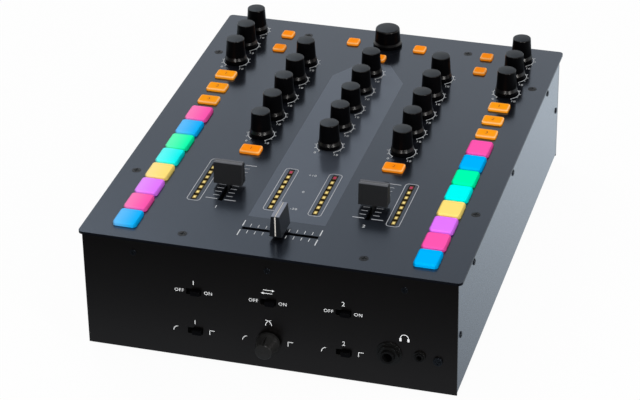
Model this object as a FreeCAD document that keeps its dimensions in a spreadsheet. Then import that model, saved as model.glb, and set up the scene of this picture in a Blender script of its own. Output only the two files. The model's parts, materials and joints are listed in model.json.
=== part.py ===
import FreeCAD, Part
import math
import os
import re

import Sketcher

# Two-channel performance mixer: a flat steel panel full of knobs, keys, pads and faders on a folded case.
# X runs to the right, Y to the back and Z up. The origin lies on the desk below the middle of the panel.

Vector = FreeCAD.Vector
Rotation = FreeCAD.Rotation
ORIGIN = Vector(0, 0, 0)

DECK_KNOBS = 3
DECK_KEYS = 3
PADS_PER_BANK = 8
COLUMN_KNOBS = 5
LIGHTS_PER_METER = 8
PHONO_COLUMNS = 5
SIDES = (("left", -1), ("right", 1))

# Driving sizes in millimetres and degrees
SIZES = [
    ("panel_width", 254.0, "top panel, left to right"),
    ("panel_thick", 1.8, "top panel sheet"),
    ("panel_corner", 3.0, "plan radius of the panel corners"),
    ("side_overhang", 2.5, "panel past each side wall"),
    ("front_overhang", 1.5, "panel past the front wall"),
    ("rear_overhang", 1.0, "panel past the rear wall"),
    ("case_height", 83.6, "case from its floor to the underside of the panel"),
    ("sheet_thick", 1.2, "case sheet"),
    ("bend_radius", 2.0, "outer bend of the tray"),
    ("flange_depth", 12.0, "side and floor flanges of the front and rear walls"),
    ("seam_gap", 0.1, "assembly gap between sheets"),
    ("foot_height", 5.0, "rubber foot"),
    ("foot_radius", 9.0, "rubber foot at the case"),
    ("foot_taper", 1.0, "foot radius lost towards the desk"),
    ("foot_recess_radius", 3.5, "recess below the foot"),
    ("foot_recess", 1.5, "depth of that recess"),
    ("foot_inset", 28.0, "foot axis from the case walls"),
    ("rail_thick", 1.5, "angle rails below the panel"),
    ("rail_drop", 14.0, "upright leg of the rails"),
    ("rail_edge", 5.0, "rail material past a screw axis"),
    ("tab_width", 12.0, "screw tabs of the front and rear rails"),
    ("screw_head_radius", 2.2, "pan head screw"),
    ("screw_head_height", 0.7, "pan head screw"),
    ("screw_head_round", 0.35, "rounded rim of the head"),
    ("flat_head_radius", 2.9, "countersunk panel screw"),
    ("flat_head_height", 1.4, "countersunk panel screw"),
    ("sink_gap", 0.25, "countersink around a panel screw"),
    ("socket_screw_radius", 3.1, "head of the screw beside the small socket"),
    ("socket_screw_head", 1.5, "head of the screw beside the small socket"),
    ("screw_slot", 0.8, "width of the cross recess"),
    ("screw_slot_depth", 0.5, "depth of the cross recess"),
    ("screw_shank_radius", 1.4, "screw thread"),
    ("screw_length", 6.0, "screw below its head"),
    ("screw_clearance", 0.1, "hole around a screw"),
    ("panel_screw_inset", 10.5, "side panel screws from the panel edge"),
    ("panel_screw_rear", 61.6, "rear pair of side panel screws from the rear edge"),
    ("panel_screw_front", 84.5, "front pair of side panel screws from the front edge"),
    ("tab_screw_offset", 10.3, "tab screws beyond the channel column"),
    ("rear_tab_screw", 19.5, "rear tab screws from the rear edge"),
    ("front_tab_screw", 14.0, "front tab screws from the front edge"),
    ("wall_screw_drop", 9.3, "wall screws below the underside of the panel"),
    ("side_screw_pitch", 118.0, "upper side wall screws"),
    ("corner_screw_inset", 8.0, "lower side screws from the front and rear walls"),
    ("corner_screw_height", 41.7, "lower side screws above the case floor"),
    ("wall_screw_offset", 10.0, "outer wall screws inside the pad column"),
    ("deck_column_inset", 27.0, "pad column from the panel's side edge"),
    ("rear_margin", 20.5, "rear edge to the first deck knob"),
    ("deck_knob_pitch", 25.75, "deck knobs"),
    ("knob_to_deck_key", 23.7, "last deck knob to the first deck key"),
    ("deck_key_pitch", 19.85, "deck keys"),
    ("deck_key_to_pad", 21.95, "last deck key to the first pad"),
    ("front_margin", 22.35, "last pad to the front edge"),
    ("channel_margin", 61.7, "rear edge to the first channel knob"),
    ("channel_pitch", 27.8, "channel knobs"),
    ("centre_margin", 66.8, "rear edge to the first centre knob"),
    ("centre_pitch", 27.6, "centre knobs"),
    ("browse_margin", 19.5, "rear edge to the browse knob"),
    ("key_margin", 22.7, "rear edge to the first row of small keys"),
    ("effect_pitch", 22.7, "effect keys"),
    ("back_pitch", 21.0, "load row to the back key"),
    ("knob_to_cue", 23.5, "last channel knob to the cue key"),
    ("cue_to_fader", 44.0, "cue key to the middle of the line fader"),
    ("crossfader_margin", 30.8, "front edge to the crossfader slot"),
    ("knob_height", 18.8, "middle of a knob's top above the panel"),
    ("knob_top_radius", 6.4, "knob at its top"),
    ("knob_waist_radius", 7.2, "knob above its skirt"),
    ("knob_skirt_radius", 8.0, "knob skirt"),
    ("knob_skirt_height", 5.2, "where the flare starts"),
    ("knob_flare", 2.2, "height of the flare"),
    ("knob_round", 0.7, "rounded edges of the flare"),
    ("knob_rim", 0.5, "rounded rim of the top"),
    ("knob_dome", 0.55, "rise of the domed top"),
    ("pointer_width", 1.0, "pointer groove of a knob"),
    ("pointer_depth", 0.4, "pointer groove at the top rim"),
    ("curve_knob_height", 13.0, "front knob beyond the mounting plane"),
    ("curve_top_radius", 5.5, "front knob at its end"),
    ("browse_height", 14.4, "browse knob top above the panel"),
    ("browse_top_radius", 8.75, "browse knob at its top"),
    ("browse_waist_radius", 9.4, "browse knob above its flange"),
    ("browse_flange_radius", 10.5, "browse knob flange"),
    ("browse_flange", 2.4, "height of that flange"),
    ("browse_round", 1.2, "rounded rim of the browse knob"),
    ("browse_dome", 0.6, "rise of its domed top"),
    ("knob_gap", 0.8, "air below a knob"),
    ("knob_wall", 1.4, "skirt wall"),
    ("knob_recess", 3.2, "ceiling of the hollow below a knob"),
    ("knob_bore", 7.0, "shaft depth in a knob"),
    ("shaft_radius", 3.0, "control shaft"),
    ("shaft_flat", 1.6, "flat of the shaft from its axis"),
    ("shaft_fit", 0.05, "knob bore around the shaft"),
    ("end_gap", 0.2, "air at the ends of a shaft"),
    ("bushing_radius", 3.5, "threaded bushing"),
    ("bushing_fit", 0.08, "running clearance of a shaft"),
    ("bushing_proud", 1.2, "bushing above the panel"),
    ("hole_clearance", 0.25, "panel hole around a bushing"),
    ("pot_width", 11.5, "potentiometer body"),
    ("pot_height", 6.5, "potentiometer body"),
    ("pot_floor", 1.0, "closed floor of the body"),
    ("board_drop", 11.0, "panel to control board, and front wall to front board"),
    ("board_thick", 1.6, "circuit boards"),
    ("board_inset", 13.0, "control board from the case walls"),
    ("stud_radius", 2.6, "clinched studs that carry the board"),
    ("stud_offset", 14.0, "studs inside the pad column"),
    ("stud_pitch", 130.0, "studs, front to back"),
    ("slot_length", 51.0, "fader slot"),
    ("slot_width", 3.0, "fader slot"),
    ("frame_width", 13.0, "fader frame"),
    ("frame_height", 10.0, "fader frame"),
    ("frame_wall", 1.2, "fader frame"),
    ("frame_end", 6.0, "frame past each end of the slot"),
    ("guide_radius", 1.2, "guide rod"),
    ("guide_spacing", 6.0, "guide rods, axis to axis"),
    ("guide_rise", 4.0, "guide rods above the frame's lower edge"),
    ("guide_fit", 0.1, "carriage bore around a rod"),
    ("carriage_width", 9.6, "carriage across the rods"),
    ("carriage_length", 8.0, "carriage along the rods"),
    ("carriage_height", 4.6, "carriage"),
    ("blade_width", 4.6, "lever along the travel"),
    ("blade_thick", 1.6, "lever across the slot"),
    ("blade_reach", 11.0, "lever above the panel"),
    ("blade_fit", 0.05, "cap socket around the lever"),
    ("cap_length", 19.8, "fader cap across the slot"),
    ("cap_base", 8.4, "fader cap at its foot"),
    ("cap_top", 5.6, "fader cap at its ridge"),
    ("cap_height", 17.5, "fader cap above the panel"),
    ("cap_gap", 2.5, "air below a fader cap"),
    ("cap_round", 0.5, "rounded edges of a cap"),
    ("cap_line", 0.9, "groove of the white line"),
    ("cap_line_depth", 0.3, "depth of that groove"),
    ("line_rest_1", -4.0, "line cap 1 from the middle of its slot"),
    ("line_rest_2", -7.1, "line cap 2 from the middle of its slot"),
    ("key_proud", 1.95, "keys above the panel"),
    ("small_key_width", 8.8, "small keys"),
    ("small_key_length", 8.9, "small keys"),
    ("wide_key_width", 14.3, "wide keys"),
    ("wide_key_length", 10.5, "wide keys"),
    ("key_corner", 1.6, "plan corners of a key"),
    ("key_crown", 0.9, "rounded top rim of a key"),
    ("pad_width", 16.0, "pads"),
    ("pad_length", 18.8, "pads"),
    ("pad_gap", 2.1, "between pads"),
    ("pad_proud", 2.6, "pads above the panel"),
    ("pad_corner", 2.4, "plan corners of a pad"),
    ("pad_crown", 1.3, "rounded top rim of a pad"),
    ("key_clearance", 0.3, "panel opening around a key or pad"),
    ("key_gap", 0.25, "air between a key's lip and the panel"),
    ("lip_width", 0.8, "lip that keeps a key in"),
    ("lip_thick", 1.2, "lip that keeps a key in"),
    ("stem_radius", 1.75, "plunger of a key"),
    ("stem_fit", 0.1, "switch bore around the plunger"),
    ("stem_entry", 1.4, "plunger in the switch at rest"),
    ("key_switch_width", 6.2, "key switch"),
    ("key_switch_height", 5.0, "key switch"),
    ("key_switch_floor", 1.2, "closed floor of a key switch"),
    ("light_width", 2.6, "meter window"),
    ("light_length", 4.4, "meter window"),
    ("light_pitch", 6.67, "meter windows"),
    ("meter_slot_width", 3.8, "meter slot in the panel"),
    ("meter_end", 1.2, "slot past the last window"),
    ("meter_shift", 1.3, "meter ahead of the line fader's middle"),
    ("meter_offset", 17.6, "channel meters beyond the channel column"),
    ("master_meter_x", 15.2, "master meters from the centre line"),
    ("upper_switch_height", 50.5, "upper front switches above the case floor"),
    ("lower_switch_height", 20.5, "lower front switches and the curve knob"),
    ("lever_width", 6.4, "slide switch lever"),
    ("lever_height", 3.6, "slide switch lever"),
    ("lever_reach", 3.0, "lever beyond the front wall"),
    ("lever_depth", 6.0, "lever behind the front wall"),
    ("lever_round", 0.6, "rounded end of the lever"),
    ("lever_travel", 3.0, "throw of a slide switch"),
    ("lever_gap", 0.5, "air around a lever"),
    ("can_wall", 1.6, "slide switch can"),
    ("front_board_margin", 8.0, "front board past the switch axes"),
    ("socket_pitch", 20.0, "large to small headphone socket"),
    ("jack_height", 25.0, "large headphone socket above the case floor"),
    ("jack_bore", 3.2, "bore for a 6.35 mm plug, radius"),
    ("jack_sleeve", 4.5, "threaded sleeve, radius"),
    ("jack_reach", 5.5, "sleeve beyond the wall"),
    ("jack_width", 15.0, "body of a large socket"),
    ("jack_depth", 26.0, "body of a large socket behind the wall"),
    ("jack_floor", 2.0, "closed end of a socket body"),
    ("nut_radius", 7.2, "hex nut, across corners, radius"),
    ("nut_thick", 2.6, "hex nut"),
    ("washer_radius", 8.5, "washer"),
    ("washer_thick", 0.8, "washer"),
    ("mini_height", 26.0, "small headphone socket above the case floor"),
    ("mini_bore", 1.78, "bore for a 3.5 mm plug, radius"),
    ("mini_sleeve", 2.9, "sleeve of the small socket, radius"),
    ("mini_reach", 2.4, "sleeve beyond the wall"),
    ("mini_width", 8.0, "body of the small socket"),
    ("mini_depth", 14.0, "body of the small socket behind the wall"),
    ("ring_nut_radius", 3.9, "ring nut of the small socket"),
    ("ring_nut_thick", 1.5, "ring nut of the small socket"),
    ("socket_screw_offset", 12.0, "single screw beyond the small socket"),
    ("wall_screw_height", 24.5, "single screw above the case floor"),
    ("upper_socket_height", 52.0, "upper row of rear sockets above the case floor"),
    ("lower_socket_height", 29.0, "lower row of rear sockets"),
    ("phono_first_share", -0.14, "first column of phono sockets, of the pad column's place"),
    ("phono_pitch_share", 0.24, "columns of phono sockets, of the pad column's place"),
    ("phono_reach", 11.5, "phono sleeve beyond the rear wall"),
    ("phono_sleeve", 4.1, "phono sleeve, radius"),
    ("phono_collar", 5.3, "collar on the wall, radius"),
    ("phono_collar_thick", 2.5, "collar on the wall"),
    ("phono_bore", 1.65, "centre contact, radius"),
    ("phono_bore_depth", 9.0, "centre contact"),
    ("phono_width", 11.0, "body of a phono socket"),
    ("phono_depth", 9.0, "body behind the wall"),
    ("output_share", -0.40, "output sockets, of the pad column's place"),
    ("microphone_share", 1.08, "microphone socket, of the pad column's place"),
    ("usb_share", -0.64, "USB socket, of the pad column's place"),
    ("usb_width", 12.0, "USB socket shell"),
    ("usb_height", 11.0, "USB socket shell"),
    ("usb_depth", 16.0, "USB socket behind the wall"),
    ("usb_wall", 1.75, "shell around the plug's mouth"),
    ("usb_mouth", 9.0, "depth of the mouth"),
    ("usb_tongue_width", 5.6, "contact tongue"),
    ("usb_tongue_height", 3.2, "contact tongue"),
    ("usb_tongue_back", 4.5, "tongue behind the mouth"),
    ("usb_proud", 0.6, "shell beyond the wall"),
    ("inlet_share", -0.84, "power inlet, of the pad column's place"),
    ("inlet_radius", 5.5, "power inlet barrel"),
    ("inlet_bore", 2.75, "power plug bore, radius"),
    ("inlet_pin", 1.0, "centre pin, radius"),
    ("inlet_mouth", 9.0, "depth of the bore"),
    ("inlet_pin_back", 1.5, "pin behind the mouth"),
    ("inlet_depth", 13.0, "inlet behind the wall"),
    ("inlet_proud", 1.5, "inlet beyond the wall"),
    ("rocker_share", -1.05, "power switch, of the pad column's place"),
    ("rocker_height", 40.0, "power switch above the case floor"),
    ("rocker_width", 8.6, "rocker"),
    ("rocker_length", 14.4, "rocker"),
    ("rocker_front", 4.0, "rocker ends beyond its axis"),
    ("rocker_valley", 2.2, "rocker middle beyond its axis"),
    ("rocker_back", 2.5, "rocker behind its axis"),
    ("rocker_tilt", 8.0, "rocker from level, in degrees"),
    ("rocker_room", 1.0, "air around the swinging rocker"),
    ("rocker_side_gap", 0.4, "air beside the rocker"),
    ("rocker_pin", 1.0, "rocker pivot, radius"),
    ("rocker_pin_reach", 1.1, "pivot in each wall"),
    ("bezel_width", 1.2, "bezel past the switch opening"),
    ("bezel_thick", 1.5, "bezel on the wall"),
    ("housing_wall", 1.8, "wall of the switch housing"),
    ("housing_floor", 2.0, "floor of the switch housing"),
    ("cutter_overrun", 1.0, "how far a cut runs past the piece"),
]

# Places and sizes that follow from the driving sizes
DERIVED = [
    ("pad_pitch", "pad_length + pad_gap"),
    ("bank_length", f"{PADS_PER_BANK - 1} * pad_pitch"),
    ("deck_knobs_length", f"{DECK_KNOBS - 1} * deck_knob_pitch"),
    ("deck_keys_length", f"{DECK_KEYS - 1} * deck_key_pitch"),
    ("panel_depth", "rear_margin + deck_knobs_length + knob_to_deck_key + deck_keys_length"
                    " + deck_key_to_pad + bank_length + front_margin"),
    ("rear_edge", "panel_depth / 2"),
    ("case_width", "panel_width - 2 * side_overhang"),
    ("side_face", "case_width / 2"),
    ("front_face", "front_overhang - rear_edge"),
    ("rear_face", "rear_edge - rear_overhang"),
    ("case_middle", "(front_face + rear_face) / 2"),
    ("case_depth", "rear_face - front_face"),
    ("tray_depth", "case_depth - 2 * sheet_thick"),
    ("under_panel", "foot_height + case_height"),
    ("panel_top", "under_panel + panel_thick"),
    ("board_top", "under_panel - board_drop"),
    ("deck_x", "panel_width / 2 - deck_column_inset"),
    ("channel_column_x", "deck_x / 2"),
    ("effect_column_x", "(deck_x + channel_column_x) / 2"),
    ("load_column_x", "channel_column_x / 2"),
    ("channel_meter_x", "channel_column_x + meter_offset"),
    ("stud_x", "deck_x - stud_offset"),
    ("tab_screw_x", "channel_column_x + tab_screw_offset"),
    ("wall_screw_x", "deck_x - wall_screw_offset"),
    ("mini_x", "deck_x"),
    ("jack_x", "mini_x - socket_pitch"),
    ("socket_screw_x", "mini_x + socket_screw_offset"),
    ("phono_first_x", "deck_x * phono_first_share"),
    ("phono_pitch", "deck_x * phono_pitch_share"),
    ("output_x", "deck_x * output_share"),
    ("microphone_x", "deck_x * microphone_share"),
    ("usb_x", "deck_x * usb_share"),
    ("inlet_x", "deck_x * inlet_share"),
    ("rocker_x", "deck_x * rocker_share"),
    ("deck_row", "rear_edge - rear_margin"),
    ("deck_key_row", "deck_row - deck_knobs_length - knob_to_deck_key"),
    ("pad_row", "deck_key_row - deck_keys_length - deck_key_to_pad"),
    ("channel_row", "rear_edge - channel_margin"),
    ("centre_row", "rear_edge - centre_margin"),
    ("browse_row", "rear_edge - browse_margin"),
    ("small_key_row", "rear_edge - key_margin"),
    ("cue_row", f"channel_row - {COLUMN_KNOBS - 1} * channel_pitch - knob_to_cue"),
    ("fader_row", "cue_row - cue_to_fader"),
    ("meter_row", "fader_row - meter_shift"),
    ("cross_row", "crossfader_margin - rear_edge"),
    ("meter_span", f"{LIGHTS_PER_METER - 1} * light_pitch"),
    ("mounting_plane", "front_face + sheet_thick - panel_thick"),
    ("lever_rest", "lever_travel / 2"),
    ("lever_slot", "lever_width + lever_travel + 2 * lever_gap"),
    ("frame_length", "slot_length + 2 * frame_end"),
    ("shank_hole", "screw_shank_radius + screw_clearance"),
    ("sink_slope", "(flat_head_radius + sink_gap - shank_hole) / flat_head_height"),
    ("rocker_axis", "rear_face + bezel_thick - rocker_valley"),
    ("rocker_swing", "sqrt(rocker_front ^ 2 + (rocker_length / 2) ^ 2)"),
]

doc = FreeCAD.newDocument("Mixer")
sheet = doc.addObject("Spreadsheet::Sheet", "Sizes")
for row, (alias, number, note) in enumerate(SIZES, start=1):
    sheet.set(f"A{row}", note)
    sheet.set(f"B{row}", str(number))
    sheet.setAlias(f"B{row}", alias)
for row, (alias, formula) in enumerate(DERIVED, start=len(SIZES) + 1):
    sheet.set(f"A{row}", alias.replace("_", " "))
    sheet.set(f"B{row}", "=" + formula)
    sheet.setAlias(f"B{row}", alias)
doc.recompute()

ALIASES = {entry[0] for entry in SIZES + DERIVED}
nodes = []


def bound(text):
    """Turn an expression in the sheet's words into one that a document object can hold."""
    return re.sub(r"[a-z_]\w*", lambda word: f"Sizes.{word[0]}" if word[0] in ALIASES else word[0], text)


def bind(item, **sizes):
    """Tie properties of an object to expressions in the sheet's words."""
    for name, text in sizes.items():
        item.setExpression(name, bound(text))
    return item


def place(item, x="0", y="0", z="0", turn=None):
    """Turn an object, then tie its place to the sheet."""
    if turn is not None:
        item.Placement = FreeCAD.Placement(ORIGIN, turn)
    for axis, text in (("x", x), ("y", y), ("z", z)):
        item.setExpression(f"Placement.Base.{axis}", bound(text))
    return item


def block(name, width, depth, height, x="0", y="0", z="0"):
    """A box centred on x and y that stands on z."""
    item = doc.addObject("Part::Box", name)
    bind(item, Length=width, Width=depth, Height=height)
    return place(item, f"{x} - ({width}) / 2", f"{y} - ({depth}) / 2", z)


def rod(name, radius, height, x="0", y="0", z="0", turn=None):
    """A cylinder that starts at its place and runs along its own Z."""
    item = doc.addObject("Part::Cylinder", name)
    bind(item, Radius=radius, Height=height)
    return place(item, x, y, z, turn)


def copy_of(master, name, x="0", y="0", z="0", turn=None):
    """Another one of a piece that is modelled once."""
    item = doc.addObject("App::Link", name)
    item.LinkedObject = master
    return place(item, x, y, z, turn)


def group(name, items):
    item = doc.addObject("Part::Compound", name)
    item.Links = items
    return item


def joined(name, items):
    item = doc.addObject("Part::MultiFuse", name)
    item.Shapes = items
    item.Refine = True
    return item


def cut(name, base, tools):
    item = doc.addObject("Part::Cut", name)
    item.Base = base
    item.Tool = tools[0] if len(tools) == 1 else group(name + "Tools", tools)
    return item


def node(label, items):
    """Name a finished sub-part: one object, or several solids that share a file."""
    item = items[0] if len(items) == 1 else group(label + "_solids", items)
    item.Label = label
    nodes.append(item)
    return item


def new_body(name):
    return doc.addObject("PartDesign::Body", name)


def sketch_on(body, role):
    """An empty sketch on one of the body's own origin planes."""
    plane = next(item for item in body.Origin.OriginFeatures if item.Role == role)
    sketch = body.newObject("Sketcher::SketchObject", body.Name + "Sketch")
    sketch.AttachmentSupport = [(plane, "")]
    sketch.MapMode = "FlatFace"
    return sketch


def outline(sketch, points, domed=False):
    """A closed run of straight lines through points given as pairs of expressions.

    If domed, the run into the last point is an arc about the sketch's upright axis.
    """
    count = len(points)
    starts = [Vector(*(sketch.evalExpression(bound(text)) for text in point), 0) for point in points]
    for index in range(count):
        start, end = starts[index], starts[(index + 1) % count]
        if domed and index == count - 2:
            rise = end.y - start.y
            radius = (start.x ** 2 + rise ** 2) / (2 * rise)
            circle = Part.Circle(Vector(0, end.y - radius, 0), Vector(0, 0, 1), radius)
            sketch.addGeometry(Part.ArcOfCircle(circle, math.asin((radius - rise) / radius), math.pi / 2))
            sketch.addConstraint(Sketcher.Constraint("PointOnObject", index, 3, -2))
        else:
            sketch.addGeometry(Part.LineSegment(start, end))
    for index in range(count):
        sketch.addConstraint(Sketcher.Constraint("Coincident", index, 2, (index + 1) % count, 1))
    for index, point in enumerate(points):
        for kind, text, start in zip(("DistanceX", "DistanceY"), point, starts[index]):
            number = sketch.addConstraint(Sketcher.Constraint(kind, -1, 1, index, 1, start))
            sketch.setExpression(f"Constraints[{number}]", bound(text))
    return sketch


def rectangle(sketch, width, depth):
    """A rectangle about the sketch's origin."""
    left, right = f"-({width}) / 2", f"({width}) / 2"
    front, back = f"-({depth}) / 2", f"({depth}) / 2"
    return outline(sketch, [(left, front), (right, front), (right, back), (left, back)])


def padded(body, sketch, length, symmetric=False):
    pad = body.newObject("PartDesign::Pad", body.Name + "Pad")
    pad.Profile = sketch
    pad.SideType = "Symmetric" if symmetric else "One side"
    return bind(pad, Length=length)


def turned(body, sketch):
    """Spin a profile about the body's Z axis."""
    spun = body.newObject("PartDesign::Revolution", body.Name + "Turned")
    spun.Profile = sketch
    spun.ReferenceAxis = (sketch, ["V_Axis"])
    spun.Angle = 360
    return spun


def rounded(body, feature, radius, wanted):
    """Fillet the edges of a feature whose bounding box passes a test."""
    doc.recompute()
    names = []
    for number, edge in enumerate(feature.Shape.Edges, start=1):
        if wanted(edge.BoundBox):
            names.append(f"Edge{number}")
    fillet = body.newObject("PartDesign::Fillet", body.Name + "Round")
    fillet.Base = (feature, names)
    return bind(fillet, Radius=radius)


def is_upright(box):
    return box.ZLength > 1e-6 and box.XLength < 1e-6 and box.YLength < 1e-6


def rim_at(level):
    """Test for edges that lie flat at one height."""
    return lambda box: box.ZLength < 1e-6 and abs(box.ZMin - level) < 1e-6


def rounded_block(name, width, depth, height, corner, crown=None):
    """A block on Z = 0 with round plan corners and, if asked, a round top rim."""
    body = new_body(name)
    last = padded(body, rectangle(sketch_on(body, "XY_Plane"), width, depth), height)
    last = rounded(body, last, corner, is_upright)
    if crown:
        doc.recompute()
        rounded(body, last, crown, rim_at(last.Shape.BoundBox.ZMax))
    return body


def mirrored_pair(name, master, x, y, z, turn_left=None, turn_right=None):
    """Left and right copies of a piece at plus and minus x."""
    left = copy_of(master, name + "Left", f"-({x})", y, z, turn_left)
    right = copy_of(master, name + "Right", x, y, z, turn_right)
    return [left, right]


# Where the controls of the top panel stand
KNOB_NAMES = ("gain", "high", "mid", "low", "filter")
CENTRE_NAMES = ("microphone", "tone", "master", "cue_mix", "cue_level")
knob_places = {}
for side, sign in SIDES:
    for index in range(DECK_KNOBS):
        name = f"{side}_loop_knob" if index == DECK_KNOBS - 1 else f"{side}_effect_knob_{index + 1}"
        knob_places[name] = (f"{sign} * deck_x", f"deck_row - {index} * deck_knob_pitch")
for channel, (side, sign) in enumerate(SIDES, start=1):
    for index, word in enumerate(KNOB_NAMES):
        place_y = f"channel_row - {index} * channel_pitch"
        knob_places[f"channel_{channel}_{word}_knob"] = (f"{sign} * channel_column_x", place_y)
for index, word in enumerate(CENTRE_NAMES):
    knob_places[f"{word}_knob"] = ("0", f"centre_row - {index} * centre_pitch")
browse_place = ("0", "browse_row")

pad_places = {}
deck_key_places = {}
effect_key_places = {}
for side, sign in SIDES:
    column = f"{sign} * deck_x"
    pad_places[side] = [(column, f"pad_row - {index} * pad_pitch") for index in range(PADS_PER_BANK)]
    deck_key_places[side] = [(column, f"deck_key_row - {index} * deck_key_pitch") for index in range(DECK_KEYS)]
    effect_key_places[side] = [(f"{sign} * effect_column_x", "small_key_row"),
                               (f"{sign} * effect_column_x", "small_key_row - effect_pitch")]
browse_key_places = [("-load_column_x", "small_key_row"), ("load_column_x", "small_key_row"),
                     ("0", "small_key_row - back_pitch")]
cue_key_places = [("-channel_column_x", "cue_row"), ("channel_column_x", "cue_row")]
small_key_places = effect_key_places["left"] + effect_key_places["right"] + browse_key_places
wide_key_places = deck_key_places["left"] + deck_key_places["right"] + cue_key_places
all_pad_places = pad_places["left"] + pad_places["right"]

meter_columns = ("-channel_meter_x", "-master_meter_x", "master_meter_x", "channel_meter_x")
fader_places = [("-channel_column_x", "fader_row", 0), ("channel_column_x", "fader_row", 0), ("0", "cross_row", 90)]
stud_places = [(f"{sign} * stud_x", f"{step} * stud_pitch") for side, sign in SIDES for step in (-1, 0, 1)]
panel_screw_places = []
for side, sign in SIDES:
    edge_x = f"{sign} * (panel_width / 2 - panel_screw_inset)"
    panel_screw_places.append((edge_x, "rear_edge - panel_screw_rear"))
    panel_screw_places.append((edge_x, "panel_screw_front - rear_edge"))
    panel_screw_places.append((f"{sign} * tab_screw_x", "rear_edge - rear_tab_screw"))
    panel_screw_places.append((f"{sign} * tab_screw_x", "front_tab_screw - rear_edge"))
wall_screw_level = "under_panel - wall_screw_drop"
wall_screw_columns = ("-wall_screw_x", "0", "wall_screw_x")
side_screw_places = [(f"case_middle + {step} * side_screw_pitch", wall_screw_level) for step in (-1, 0, 1)]
side_screw_places.append(("front_face + corner_screw_inset", "foot_height + corner_screw_height"))
side_screw_places.append(("rear_face - corner_screw_inset", "foot_height + corner_screw_height"))

FACE_FRONT = Rotation(Vector(1, 0, 0), 90)
FACE_REAR = Rotation(Vector(1, 0, 0), -90)
FACE_RIGHT = Rotation(Vector(0, 1, 0), 90)
FACE_LEFT = Rotation(Vector(0, 1, 0), -90)
FACE_DOWN = Rotation(Vector(1, 0, 0), 180)
QUARTER_TURN = Rotation(Vector(0, 0, 1), 90)
FACE_REAR_UPRIGHT = Rotation(Vector(0, 0, 1), 180) * FACE_FRONT


def make_top_panel():
    """Flat sheet with an opening for every control, and studs on its underside for the control board."""
    body = new_body("PanelSheet")
    pad = padded(body, rectangle(sketch_on(body, "XY_Plane"), "panel_width", "panel_depth"), "panel_thick")
    rounded(body, pad, "panel_corner", is_upright)
    place(body, z="under_panel")
    stud = cut("Stud", rod("StudRound", "stud_radius", "board_drop"),
               [rod("StudThread", "shank_hole", "screw_length", z="-cutter_overrun")])
    studs = [copy_of(stud, "PanelStud", x, y, "board_top") for x, y in stud_places]

    floor = "under_panel - cutter_overrun"
    depth = "panel_thick + 2 * cutter_overrun"
    tools = []
    for x, y in list(knob_places.values()) + [browse_place]:
        tools.append(rod("ShaftHole", "bushing_radius + hole_clearance", depth, x, y, floor))
    for x, y in panel_screw_places:
        tools.append(rod("PanelScrewHole", "shank_hole", depth, x, y, floor))
        sink = doc.addObject("Part::Cone", "PanelCountersink")
        bind(sink, Radius1="shank_hole", Height="flat_head_height + cutter_overrun",
             Radius2="shank_hole + sink_slope * (flat_head_height + cutter_overrun)")
        tools.append(place(sink, x, y, "panel_top - flat_head_height"))
    for word, corner, places in (("small_key", "key_corner", small_key_places),
                                 ("wide_key", "key_corner", wide_key_places),
                                 ("pad", "pad_corner", all_pad_places)):
        opening = rounded_block(f"{word}_opening", f"{word}_width + 2 * key_clearance",
                                f"{word}_length + 2 * key_clearance", depth, f"{corner} + key_clearance")
        for x, y in places:
            tools.append(copy_of(opening, f"{word}_hole", x, y, floor))
    slot = block("FaderSlot", "slot_width", "slot_length", depth)
    for x, y, angle in fader_places:
        turn = QUARTER_TURN if angle else None
        tools.append(copy_of(group("FaderSlotTool", [slot]), "FaderSlotCut", x, y, floor, turn))
    for x in meter_columns:
        tools.append(block("MeterSlot", "meter_slot_width", "meter_span + light_length + 2 * meter_end",
                           depth, x, "meter_row", floor))
    node("top_panel", [cut("TopPanel", body, tools)] + studs)


def make_base_tray():
    """Floor and both side walls folded from one sheet."""
    body = new_body("TrayFold")
    inner_x = "side_face - sheet_thick"
    profile = outline(sketch_on(body, "XZ_Plane"), [
        ("-side_face", "0"), ("side_face", "0"), ("side_face", "case_height"), (inner_x, "case_height"),
        (inner_x, "sheet_thick"), (f"-({inner_x})", "sheet_thick"),
        (f"-({inner_x})", "case_height"), ("-side_face", "case_height")])
    pad = padded(body, profile, "tray_depth", symmetric=True)
    doc.recompute()

    def is_bend(box):
        return box.YLength > 1 and abs(box.ZMin - pad.Shape.BoundBox.ZMin) < 1e-6

    rounded(body, pad, "bend_radius", is_bend)
    place(body, y="case_middle", z="foot_height")
    tools = []
    for y, z in side_screw_places:
        tools.append(rod("SideScrewHole", "shank_hole", "panel_width", "-panel_width / 2", y, z, FACE_RIGHT))
    node("base_tray", [cut("BaseTray", body, tools)])


def wall_with_flanges(name, face, inward):
    """An upright wall with side and floor flanges bent inwards; inward is 1 at the front, -1 at the rear."""
    height = "case_height"
    wall = block(name + "Sheet", "case_width", "sheet_thick", height,
                 "0", f"{face} + {inward} * sheet_thick / 2", "foot_height")
    flange_y = f"{face} + {inward} * (sheet_thick + flange_depth) / 2"
    depth = "sheet_thick + flange_depth"
    flange_x = "side_face - 1.5 * sheet_thick - seam_gap"
    floor = "foot_height + sheet_thick"
    tall = "case_height - sheet_thick - panel_thick - rail_drop"
    pieces = [wall]
    for side, sign in SIDES:
        pieces.append(block(name + "Flange", "sheet_thick", depth, tall, f"{sign} * ({flange_x})", flange_y, floor))
    pieces.append(block(name + "Foot", "2 * side_face - 2 * sheet_thick - 2 * seam_gap", depth,
                        "sheet_thick", "0", flange_y, floor))
    return joined(name + "Folded", pieces)


def corner_screw_tools(face, inward):
    y = f"{face} + {inward} * corner_screw_inset"
    level = "foot_height + corner_screw_height"
    return rod("CornerScrewHole", "shank_hole", "panel_width", "-panel_width / 2", y, level, FACE_RIGHT)


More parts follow.
